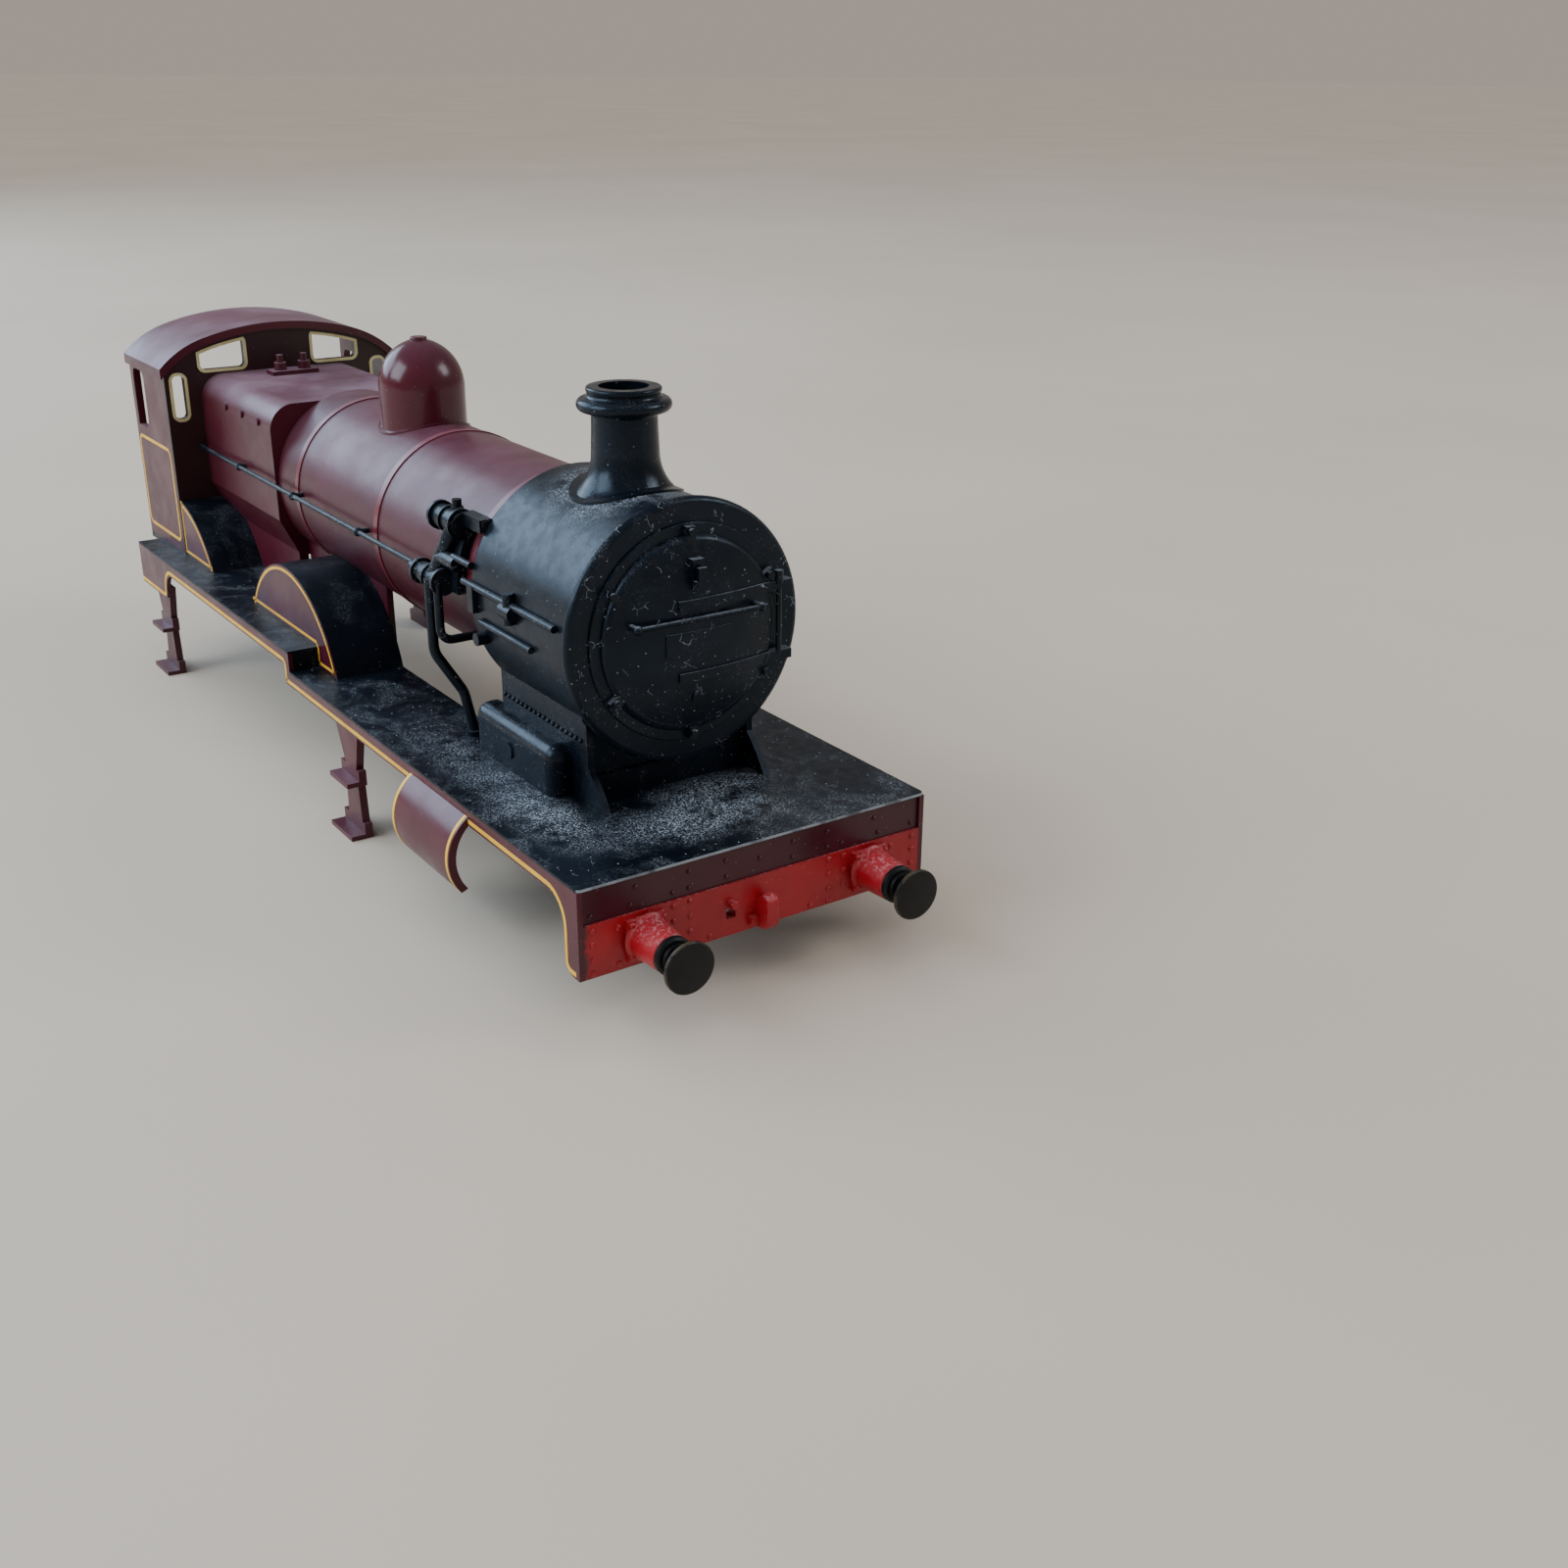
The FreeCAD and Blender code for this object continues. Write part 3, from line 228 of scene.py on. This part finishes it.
def dusty_black(name, film, grains, lint, heaps=(), rough=0.36, edge=0.0, ledge_dust_and_highlight=0.0):
    """Satin black plastic with a thin film, crisp grains and curled lint of dust on it.
    Edge rubs the front edge of the deck pale, and the amount for ledges whitens what faces
    straight up: dust lying there, and a painted highlight of the light from above."""
    finish = Finish(name)
    colour = finish.mottled(4 * MM, 5, BLACK, BLACK_WORN, 0.35)
    up = finish.ramp(finish.facing(2), -0.1, 0.9, 0.12, 1.0)
    patches = dust_film(finish, film, heaps)
    fine = finish.ramp(finish.cloud(0.09 * MM, 3, 0.75), 0.5, 0.58)
    powder = finish.times(finish.times(patches, up), finish.plus(fine, 0.06))
    small = finish.times(finish.specks(0.34 * MM, 0.28, 0.16, 0.4, 0.6),
                         finish.times(finish.plus(patches, patches), grains))
    large = finish.times(finish.specks(0.62 * MM, 0.14, 0.08, 0.62, 0.66), grains)
    dust = finish.most(small, finish.most(large, lint_strands(finish, lint)))
    dust = finish.most(dust, powder)
    if ledge_dust_and_highlight:
        # Dust on surfaces facing straight up, whitened further as a painted highlight of the light
        # from above.
        lying = finish.ramp(finish.facing(2), 0.5, 0.92, 0, ledge_dust_and_highlight)
        uneven = finish.ramp(finish.cloud(0.3 * MM, 4), 0.3, 0.6, 0.4, 1)
        dust = finish.most(dust, finish.times(lying, uneven))
    if edge:
        near_edge = finish.ramp(finish.along(0), spot(-1.0, 0, 0).x, spot(-0.3, 0, 0).x)
        uneven = finish.ramp(finish.cloud(1.2 * MM, 4), 0.3, 0.55, 0.25 * edge, edge)
        rubbed = finish.times(finish.ramp(finish.facing(0), 0.35, 0.8), near_edge)
        dust = finish.most(dust, finish.times(rubbed, uneven))
    roughness = finish.plus(finish.gloss(0.6 * MM, rough - 0.06, rough + 0.07, 4),
                            finish.times(dust, 0.5))
    relief = finish.plus(finish.times(finish.cloud(0.12 * MM, 2), 0.25), dust)
    finish.surface(finish.mixed(dust, colour, DUST), roughness, relief, 0.02 * MM,
                   Specular_IOR_Level=0.3, Specular_Tint=(0.62, 0.80, 1.0, 1.0))
    return finish


deck_finish = dusty_black("deck_black", 0.3, 0.95, 0.25, heaps=(
    (spot(-6.5, -1.0, 0), (1.6, 0.75, 1), 1.5 * MM, 9 * MM, 0.9),
    (spot(-11.5, 3.0, 0), (1.8, 0.8, 1), 1.0 * MM, 7 * MM, 0.8),
    (spot(-14.0, -13.0, 0), (0.6, 1.6, 1), 1.0 * MM, 7 * MM, 0.8),
    (spot(-28.0, -13.0, 0), (0.5, 1.8, 1), 1.0 * MM, 8 * MM, 0.6)), rough=0.4, edge=0.85)
put_on(deck_finish, "footplate", "footplate_lip")

# Valances: the shallow edge strips under the deck, in the same glossy crimson plastic
# as the body. A yellow line is ruled along their lower edge and round both end drops.
CRIMSON = (0.080, 0.0050, 0.0158)
CRIMSON_DEEP = (0.047, 0.0033, 0.0105)
LILAC_DUST_AND_SHEEN = (0.36, 0.26, 0.34)


def crimson(name, film=0.14, rough=0.3, light=CRIMSON, deep=CRIMSON_DEEP):
    """Semi-gloss crimson plastic with a faint lilac bloom where it faces up: dust, and a painted
    sheen of the light from above.
    """
    finish = Finish(name)
    colour = finish.mottled(9 * MM, 4, deep, light)
    up = finish.ramp(finish.facing(2), 0.1, 1.0)
    # Lilac bloom on up-facing surfaces: dust, and a painted sheen of the light from above.
    dust_and_sheen = finish.ramp(finish.cloud(5 * MM, 5, 0.6), 0.3, 0.75, 0.25, 1.0)
    dust_and_sheen = finish.times(finish.times(dust_and_sheen, up), film)
    grain = finish.specks(0.6 * MM, 0.13, 0.07, 0.72, 0.75)
    dust_and_sheen = finish.plus(dust_and_sheen, finish.times(grain, 0.4))
    roughness = finish.plus(finish.gloss(2 * MM, rough - 0.05, rough + 0.07, 4),
                            finish.times(dust_and_sheen, 0.6))
    finish.surface(finish.mixed(dust_and_sheen, colour, LILAC_DUST_AND_SHEEN), roughness, finish.cloud(0.35 * MM, 3),
                   0.01 * MM, Specular_IOR_Level=0.38, Coat_Weight=0.12, Coat_Roughness=0.2)
    return finish


valance_finish = crimson("valance_crimson", 0.05)
put_on(valance_finish, *both("valance"))

LINE_WIDTH = 0.42
LINE_PROUD = 0.02
lining = Finish("lining_yellow")
lining.surface(lining.mottled(1.5 * MM, 5, (0.88, 0.50, 0.035), (0.74, 0.36, 0.022), high=0.75),
               lining.gloss(0.4 * MM, 0.38, 0.55), lining.cloud(0.15 * MM, 2), 0.01 * MM)


def bends(corners, radii, steps=9):
    """Corner points joined by straight runs, each corner rounded by an arc of its radius:
    the arc's points sweep from one run's tangent point to the other about their centre."""
    points = [np.array(corners[0], float)]
    for before, here, after, radius in zip(corners, corners[1:], corners[2:], radii):
        before, here, after = (np.array(p, float) for p in (before, here, after))
        back = (before - here) / np.linalg.norm(before - here)
        on = (after - here) / np.linalg.norm(after - here)
        half = math.acos(float(np.clip(back @ on, -1, 1))) / 2
        centre = here + (back + on) / np.linalg.norm(back + on) * radius / math.sin(half)
        start = here + back * radius / math.tan(half) - centre
        end = here + on * radius / math.tan(half) - centre
        share = np.linspace(0, 1, steps)[:, None]
        swing = math.acos(float(np.clip(start @ end / radius ** 2, -1, 1)))
        points.extend(centre + (np.sin((1 - share) * swing) * start + np.sin(share * swing) * end)
                      / math.sin(swing))
    points.append(np.array(corners[-1], float))
    return np.array(points)


def strip_mesh(name, middle, across, proud):
    """A flat strip: four corners at each point of its middle line, half a width to
    either side of it (across) and raised or sunk by its thickness (proud)."""
    ring = np.stack([middle - across - proud, middle + across - proud,
                     middle + across + proud, middle - across + proud], 1)
    count = len(middle)
    at = np.arange(count - 1)[:, None] * 4
    side = np.arange(4)[None, :]
    turn = (side + 1) % 4
    faces = np.stack([at + side, at + turn, at + 4 + turn, at + 4 + side], -1).reshape(-1, 4)
    ends = [[3, 2, 1, 0], [4 * count - 4, 4 * count - 3, 4 * count - 2, 4 * count - 1]]
    mesh = bpy.data.meshes.new(name)
    mesh.from_pydata(ring.reshape(-1, 3).tolist(), [], ends + faces.tolist())
    return mesh


def painted(name, mesh, finish):
    """Puts a painted strip on the shell."""
    piece = placed(name, mesh)
    mesh.materials.append(finish.material)
    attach(piece, "shell")


def side_line(name, path, face_y, inset, width=LINE_WIDTH):
    """A painted line on an upright side face: it keeps inset inside a path drawn in X and
    Z, on the right of its direction, and is width wide; all in millimetres."""
    tangent = np.gradient(path, axis=0)
    tangent /= np.linalg.norm(tangent, axis=1)[:, None]
    inward = np.stack([tangent[:, 1], -tangent[:, 0]], 1)
    middle = path + inward * (inset + width / 2)
    flat = np.stack([middle[:, 0], np.full(len(path), face_y), middle[:, 1]], 1)
    across = np.stack([inward[:, 0], np.zeros(len(path)), inward[:, 1]], 1) * width / 2
    middle = np.array(spot(0, 0, 0)) + flat * MM
    sign = 1 if face_y > 0 else -1
    proud = np.array([0, sign * LINE_PROUD * MM, 0])
    painted(name, strip_mesh(name, middle, across * MM * sign, proud), lining)


VALANCE_FACE = 17.7
STEP_X = -64.1                  # where the deck steps up
valance_edge = [(-0.35, -8.2), (-2.3, -8.2), (-2.3, -1.7), (STEP_X, -1.7), (STEP_X, 0.5),
                (-106.0, 0.5), (-106.0, -3.0), (-116.4, -3.0)]
valance_bends = [1.2, 2.5, 0.3, 0.3, 2.5, 1.0]
for hand, sign in HANDS:
    side_line(f"valance_line_{hand}", bends(valance_edge, valance_bends), sign * VALANCE_FACE,
              0.22)

# Front frame plate: riveted plate under the deck's front edge, darker crimson, with a
# light scatter of dust.
frame_plate_finish = crimson("frame_plate_crimson", 0.05, 0.36, (0.052, 0.0042, 0.0115),
                             (0.034, 0.0030, 0.0082))
put_on(frame_plate_finish, "front_frame_plate")

# Buffer beam, buffer housings, hook and pipe stub: one bright red group of mouldings.
# The paint is chipped dark at the beam's right-hand end and dusty on top of the housings.
RED = (0.38, 0.0060, 0.0140)
RED_DEEP = (0.27, 0.0046, 0.0105)


DUSTY_RED = (0.55, 0.36, 0.38)
BARE = (0.02, 0.012, 0.012)

red_finish = Finish("beam_red")
red_up = red_finish.ramp(red_finish.facing(2), 0.1, 1.0)
red_film = red_finish.ramp(red_finish.cloud(0.16 * MM, 3, 0.7), 0.48, 0.64, 0.03, 0.38)
red_grain = red_finish.specks(0.55 * MM, 0.14, 0.08, 0.6, 0.64)
red_dust = red_finish.plus(red_finish.times(red_up, red_film), red_finish.times(red_grain, 0.4))
beam_end = red_finish.ramp(red_finish.along(1), spot(0, -16.5, 0).y, spot(0, -17.3, 0).y)
chip = red_finish.times(red_finish.ramp(red_finish.cloud(0.7 * MM, 4), 0.45, 0.52), beam_end)
red_tone = red_finish.mixed(red_dust, red_finish.mottled(3 * MM, 4, RED, RED_DEEP, high=0.72),
                            DUSTY_RED)
red_finish.surface(red_finish.mixed(chip, red_tone, BARE),
                   red_finish.plus(red_finish.gloss(0.8 * MM, 0.33, 0.47, 4),
                                   red_finish.times(red_dust, 0.5)),
                   red_finish.cloud(0.3 * MM, 3), 0.012 * MM)
put_on(red_finish, "buffer_beam", *both("buffer_housing"), "coupling_hook", "brake_pipe_stub")

# Buffer heads, shanks and guide bushes: turned metal, chemically blackened. The rims are
# rubbed to a warmer brown, and fine tool marks circle the faces.
head_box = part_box("buffer_head_right")
head_middle = (head_box[0] + head_box[1]) / 2
RIM_INNER, RIM_OUTER = 2.12 * MM, 2.27 * MM
TOOL_PITCH = 0.09 * MM
blackened = Finish("blackened_metal")
to_axis = blackened.maths("SUBTRACT", blackened.maths("ABSOLUTE", blackened.along(1)),
                          abs(head_middle.y))
to_height = blackened.maths("SUBTRACT", blackened.along(2), head_middle.z)
across_axis = blackened.node("ShaderNodeCombineXYZ", {0: to_axis, 1: to_height}).outputs[0]
reach = blackened.node("ShaderNodeVectorMath", {0: across_axis},
                       operation="LENGTH").outputs["Value"]
rim = blackened.times(blackened.ramp(reach, RIM_INNER, RIM_OUTER),
                      blackened.ramp(blackened.cloud(0.5 * MM, 3), 0.35, 0.6))
tone = blackened.mottled(0.8 * MM, 4, (0.0035, 0.0035, 0.0042), (0.008, 0.008, 0.009))
tool_marks = blackened.maths("SINE", blackened.maths("MULTIPLY", reach, 2 * math.pi / TOOL_PITCH))
blackened.surface(blackened.mixed(rim, tone, (0.060, 0.046, 0.030)),
                  blackened.gloss(0.4 * MM, 0.4, 0.55), tool_marks, 0.0008 * MM, Metallic=0.1,
                  Specular_IOR_Level=0.3)
put_on(blackened, *both("buffer_head", "buffer_shank", "buffer_bush"))

# Buffer springs: a coil of bright steel wire inside each housing, round the shank. Three
# and a half turns, flat at both ends. In the real buffer it is squeezed as the head is pushed in;
# here the coil is fixed to the shell and keeps its length.
spring_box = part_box("buffer_spring_right")
spring_steel = Finish("spring_steel")
spring_steel.surface(spring_steel.mottled(0.3 * MM, 3, (0.42, 0.42, 0.43), (0.55, 0.55, 0.54)),
                     spring_steel.gloss(0.2 * MM, 0.25, 0.4), spring_steel.cloud(0.05 * MM, 2),
                     0.003 * MM, Metallic=1.0)
FLAT_TURN = 0.4                 # part of a turn that lies flat at each end


def spring_mesh(name, low, high, axis_y, axis_z, turns=3.5, wire=0.12 * MM, coil=1.03 * MM):
    """Round wire wound about a line along X. A point is the coil circle at angle turns
    times u, moved along by u, plus the wire circle at angle v in the plane that holds the
    axis. A short part of a turn at each end is flat."""
    u = np.linspace(0, 1, 220)[:, None]
    v = np.linspace(0, 2 * np.pi, 12, endpoint=False)[None, :]
    ease = np.clip((u * turns - FLAT_TURN) / (turns - 2 * FLAT_TURN), 0, 1)
    angle = 2 * np.pi * turns * u
    length = high - low - 2 * wire
    x = low + wire + length * ease + wire * np.sin(v)
    radius = coil + wire * np.cos(v)
    y = axis_y + radius * np.cos(angle)
    z = axis_z + radius * np.sin(angle)
    rings = np.stack([np.broadcast_to(x, y.shape), y, z], -1)
    count, around = y.shape
    at = np.arange(count - 1)[:, None] * around
    side = np.arange(around)[None, :]
    turn = (side + 1) % around
    faces = np.stack([at + side, at + around + side, at + around + turn, at + turn], -1)
    faces = faces.reshape(-1, 4)
    ends = [list(range(around)), list(range((count - 1) * around, count * around))[::-1]]
    mesh = bpy.data.meshes.new(name)
    mesh.from_pydata(rings.reshape(-1, 3).tolist(), [], faces.tolist() + ends)
    mesh.polygons.foreach_set("use_smooth", [True] * len(mesh.polygons))
    return mesh


for hand, sign in HANDS:
    wire_mesh = spring_mesh(f"spring_coil_{hand}", spring_box[0].x, spring_box[1].x,
                            sign * abs(head_middle.y), head_middle.z)
    wire_mesh.materials.append(spring_steel.material)
    coil_piece = placed(f"spring_coil_{hand}", wire_mesh)
    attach(coil_piece, "shell")
    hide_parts(f"buffer_spring_{hand}")
    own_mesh(coil_piece)

# Smokebox, its front ring, the door and what is moulded on the door: satin black. Dust
# is thick round the foot of the chimney and catches on every ledge of the door, and those ledges
# are also whitened as a painted highlight of the light from above.
chimney_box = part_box("chimney")
chimney_foot = (chimney_box[0] + chimney_box[1]) / 2
chimney_foot.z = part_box("smokebox")[1].z
smokebox_finish = dusty_black("smokebox_black", 0.08, 0.55, 0.08, heaps=(
    (chimney_foot, (1, 1, 0.5), 4.4 * MM, 8.5 * MM, 1.0),), rough=0.34)
put_on(smokebox_finish, "smokebox")
door_finish = dusty_black("door_black", 0.25, 0.6, 0.7, rough=0.34)
put_on(door_finish, "smokebox_front_ring", "smokebox_door")
trim_finish = dusty_black("door_trim_black", 0.3, 0.6, 0.8, rough=0.3, ledge_dust_and_highlight=0.38)
put_on(trim_finish, "door_hinge_straps", "door_handrail", "door_dogs", "door_lamp_bracket",
       "door_plate")

# Saddle, its front wings and apron, and the valve chest covers: black mouldings that
# join the smokebox to the deck, with a row of small rivets on the saddle's side.
saddle_finish = dusty_black("saddle_black", 0.2, 0.5, 0.15, rough=0.28)
put_on(saddle_finish, "saddle", "saddle_apron", *both("saddle_wing", "valve_chest_cover"))

# Smokebox side pipes, handrails and ejector: thin black fittings that hold the dust, with a faint
# painted highlight of the light from above on their tops.
fitting_finish = dusty_black("fitting_black", 0.3, 0.8, 0.5, rough=0.34, ledge_dust_and_highlight=0.06)
put_on(fitting_finish, *both("smokebox_pipes", "handrail"), "ejector")

# Chimney: turned black plastic casting with a flared foot and a heavy lip.
chimney_finish = dusty_black("chimney_black", 0.1, 0.35, 0.05, rough=0.25)
put_on(chimney_finish, "chimney")

# Boiler, its bands and the dome: glossy crimson mouldings. The raised bands are rubbed
# smooth, and their crimson is painted about twice as light, a painted highlight, so they read as
# thin pale lines.
boiler_finish = crimson("boiler_crimson", 0.16, 0.4)
put_on(boiler_finish, "boiler_barrel")
# Painted highlight: the bands' crimson is lighter than the barrel's.
band_finish = crimson("band_crimson", 0.3, 0.26, (0.17, 0.022, 0.035), (0.11, 0.013, 0.022))
put_on(band_finish, "boiler_bands")
dome_finish = crimson("dome_crimson", 0.06, 0.2)
put_on(dome_finish, "dome")

# Firebox with its small fittings: crimson, its flat top paled by dust and by a painted sheen of
# the light from above.
firebox_finish = crimson("firebox_crimson", 0.5, 0.38)
put_on(firebox_finish, "firebox", "firebox_fittings")

# Cab front, sides and roof: thin crimson sheets. The front sheet is painted almost black, a
# painted shade for the shadow it stands in, with cream rims painted round its windows; the sides
# carry the yellow lining.
# Painted shade: the cab front's crimson is nearly black.
cab_front_shade_finish = crimson("cab_front_painted_shade", 0.08, 0.4, (0.030, 0.006, 0.009),
                           (0.018, 0.004, 0.006))
put_on(cab_front_shade_finish, "cab_front")
# The roof's strong lilac bloom is dust and a painted sheen of the light from above.
cab_finish = crimson("cab_crimson", 0.4, 0.38)
put_on(cab_finish, *both("cab_side"), "cab_roof")
cream = Finish("window_cream")
cream.surface(cream.mottled(1 * MM, 4, (0.62, 0.56, 0.30), (0.50, 0.43, 0.20)),
              cream.gloss(0.4 * MM, 0.4, 0.55), cream.cloud(0.2 * MM, 2), 0.01 * MM)
put_on(cream, "window_rims")
CAB_FACE = 14.5
PANEL_REAR, PANEL_FRONT, PANEL_LOW, PANEL_HIGH = -120.9, -107.9, 3.4, 15.2
panel_start = (-114.5, PANEL_LOW)
panel_corners = [(PANEL_REAR, PANEL_LOW), (PANEL_REAR, PANEL_HIGH), (PANEL_FRONT, PANEL_HIGH),
                 (PANEL_FRONT, PANEL_LOW)]
cab_panel = bends([panel_start, *panel_corners, panel_start], [1.2] * 4)
for hand, sign in HANDS:
    side_line(f"cab_line_{hand}", cab_panel, sign * CAB_FACE, 0.0)

# Splashers: curved covers over the coupled wheels. The tops are black; the flat outer
# faces are crimson inside a yellow line that follows the arc and the stepped base. The
# frame sheets behind them are crimson.
splasher_finish = dusty_black("splasher_black", 0.15, 0.4, 0.05, rough=0.36)
splasher_side = crimson("splasher_crimson", 0.05, 0.34)
SPLASHER_FACE = 14.4
ARC = 13.6
AXLE_Z = -4.5
LEADING_X, TRAILING_X = -70.5, -108.5
CAB_FRONT_X, RISER_X, HIGH_DECK = -107.0, -62.8, 2.2

for part in ("leading", "trailing"):
    for hand, sign in HANDS:
        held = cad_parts[f"splasher_{part}_{hand}"].data
        put_on(splasher_finish, f"splasher_{part}_{hand}")
        held.materials.append(splasher_side.material)
        for face in held.polygons:
            outermost = abs(face.center.y) > (SPLASHER_FACE - 0.1) * MM
            if face.normal.y * sign > 0.95 and outermost:
                face.material_index = 1
put_on(boiler_finish, *both("frame_side"))


def splasher_edge(axle_x, from_x, to_x, base):
    """Outline of a splasher's face, in X and Z: the circle x = axle + R sin(t),
    z = axle + R cos(t) from one X to another, then along the base points to the start."""
    t = np.linspace(math.asin((from_x - axle_x) / ARC), math.asin((to_x - axle_x) / ARC), 60)
    arc = np.stack([axle_x + ARC * np.sin(t), AXLE_Z + ARC * np.cos(t)], 1)
    corners = [arc[-1]] + [np.array(p, float) for p in base] + [arc[0]]
    runs = [a + (b - a) * np.linspace(0, 1, 14)[1:, None] for a, b in zip(corners, corners[1:])]
    return np.concatenate([arc] + runs)


leading_edge = splasher_edge(LEADING_X, -82.34, -57.67, [(RISER_X, 0.0), (RISER_X, HIGH_DECK)])
trailing_edge = splasher_edge(TRAILING_X, CAB_FRONT_X, -96.66, [(CAB_FRONT_X, HIGH_DECK)])
for hand, sign in HANDS:
    side_line(f"leading_splasher_line_{hand}", leading_edge, sign * SPLASHER_FACE, 0.3, 0.32)
    side_line(f"trailing_splasher_line_{hand}", trailing_edge, sign * SPLASHER_FACE, 0.3, 0.32)

# Cylinder covers and steps: thin crimson mouldings below the deck, the covers edged with
# yellow at front and rear and dark inside.
cover_finish = crimson("cover_crimson", 0.06, 0.34)
put_on(cover_finish, *both("cylinder_cover"))
step_finish = crimson("step_crimson", 0.25, 0.36)
put_on(step_finish, *both("mid_steps", "rear_steps"))


def cover_line(name, sign, x, low=(18.75, -8.0), mid=(19.75, -4.1), high=(17.7, -0.9)):
    """A line across a cylinder cover at one X. It lies on the circle through three points
    of the cover's profile, whose centre is equally far from all of them."""
    a, b, c = (np.array(p) for p in (low, mid, high))
    centre = np.linalg.solve(2 * np.array([b - a, c - a]), [b @ b - a @ a, c @ c - a @ a])
    t = np.linspace(math.atan2(*(a - centre)[::-1]), math.atan2(*(c - centre)[::-1]), 40)
    out = np.stack([np.cos(t) * sign, np.sin(t)], 1)
    radius = np.linalg.norm(a - centre)
    on_face = centre * np.array([sign, 1]) + out * radius
    middle = np.stack([np.full(len(t), x), on_face[:, 0], on_face[:, 1]], 1)
    proud = np.stack([np.zeros(len(t)), out[:, 0], out[:, 1]], 1) * LINE_PROUD * MM
    across = np.array([-sign * LINE_WIDTH / 2 * MM, 0, 0])
    painted(name, strip_mesh(name, np.array(spot(0, 0, 0)) + middle * MM, across, proud),
            lining)


for hand, sign in HANDS:
    cover_line(f"cover_line_front_{hand}", sign, -19.85)
    cover_line(f"cover_line_rear_{hand}", sign, -31.35)

# Studio: a plain pale floor, soft window light from the right-hand side, very soft
# daylight from above, a weak light from the left, and the camera.
FLOOR_REACH = 6
floor_mesh = bpy.data.meshes.new("floor")
floor_mesh.from_pydata([(x * FLOOR_REACH, y * FLOOR_REACH, 0)
                        for x, y in ((-1, -1), (1, -1), (1, 1), (-1, 1))], [], [(0, 1, 2, 3)])
floor = placed("floor", floor_mesh)
floor_finish = Finish("floor_pale")
floor_finish.surface(floor_finish.mottled(60 * MM, 3, (0.53, 0.455, 0.37), (0.58, 0.50, 0.41),
                                          0.2, 0.8), 0.75)
floor_mesh.materials.append(floor_finish.material)

HORIZON = (0.392, 0.352, 0.302, 1)
OVERHEAD = (0.26, 0.29, 0.34, 1)
world = bpy.data.worlds.new("studio")
bpy.context.scene.world = world
world.use_nodes = True
sky = world.node_tree
towards = sky.nodes.new("ShaderNodeTexCoord")
height = sky.nodes.new("ShaderNodeSeparateXYZ")
rise = sky.nodes.new("ShaderNodeMapRange")
blend = sky.nodes.new("ShaderNodeMix")
blend.data_type = "RGBA"
rise.inputs["From Min"].default_value = 0.05
rise.inputs["From Max"].default_value = 0.8
blend.inputs[6].default_value = HORIZON
blend.inputs[7].default_value = OVERHEAD
sky.links.new(towards.outputs["Generated"], height.inputs[0])
sky.links.new(height.outputs[2], rise.inputs["Value"])
sky.links.new(rise.outputs["Result"], blend.inputs[0])
sky.links.new(blend.outputs[2], sky.nodes["Background"].inputs["Color"])

LAMP_AIM = Vector((0, 0, 0.02))


def soft_light(name, place, width, height, power, colour):
    """A rectangular lamp that looks at the model."""
    lamp = bpy.data.lights.new(name, "AREA")
    lamp.shape = "RECTANGLE"
    lamp.size, lamp.size_y = width, height
    lamp.energy, lamp.color = power, colour
    holder = placed(name, lamp)
    holder.location = place
    holder.rotation_mode = "QUATERNION"
    holder.rotation_quaternion = (LAMP_AIM - Vector(place)).to_track_quat("-Z", "Y")


soft_light("window_rear", (-0.62, -0.30, 0.34), 0.60, 0.40, 4.2, (0.58, 0.78, 1.0))
soft_light("window_right", (-0.12, -0.62, 0.42), 0.45, 0.45, 4.5, (0.74, 0.87, 1.0))
soft_light("window_left", (0.42, 0.62, 0.50), 0.30, 0.30, 2.0, (0.95, 0.97, 1.0))
daylight = bpy.data.lights.new("daylight", "SUN")
daylight.energy, daylight.angle, daylight.color = 1.5, math.radians(80), (1.0, 0.98, 0.96)
overhead = placed("daylight", daylight)
overhead.visible_glossy = False
overhead.rotation_mode = "QUATERNION"
overhead.rotation_quaternion = Vector((0.15, 0.2, -1.0)).to_track_quat("-Z", "Y")

LENS = 39.27
SENSOR = 36.0
CAMERA_PLACE = (0.16482, -0.07422, 0.07353)
YAW, PITCH, ROLL = (math.radians(angle) for angle in (144.60, 23.01, 0.59))
camera_data = bpy.data.cameras.new("camera")
camera_data.sensor_width = SENSOR
camera_data.lens = LENS
camera_data.clip_start, camera_data.clip_end = 0.01, 20
camera = placed("camera", camera_data)
looking = Vector((math.cos(PITCH) * math.cos(YAW), math.cos(PITCH) * math.sin(YAW),
                  -math.sin(PITCH)))
level = looking.cross(Vector((0, 0, 1))).normalized()
upright = level.cross(looking)
right = math.cos(ROLL) * level + math.sin(ROLL) * upright
above = -math.sin(ROLL) * level + math.cos(ROLL) * upright
camera.matrix_world = Matrix([(right[i], above[i], -looking[i], CAMERA_PLACE[i]) for i in range(3)]
                             + [(0, 0, 0, 1)])
bpy.context.scene.camera = camera
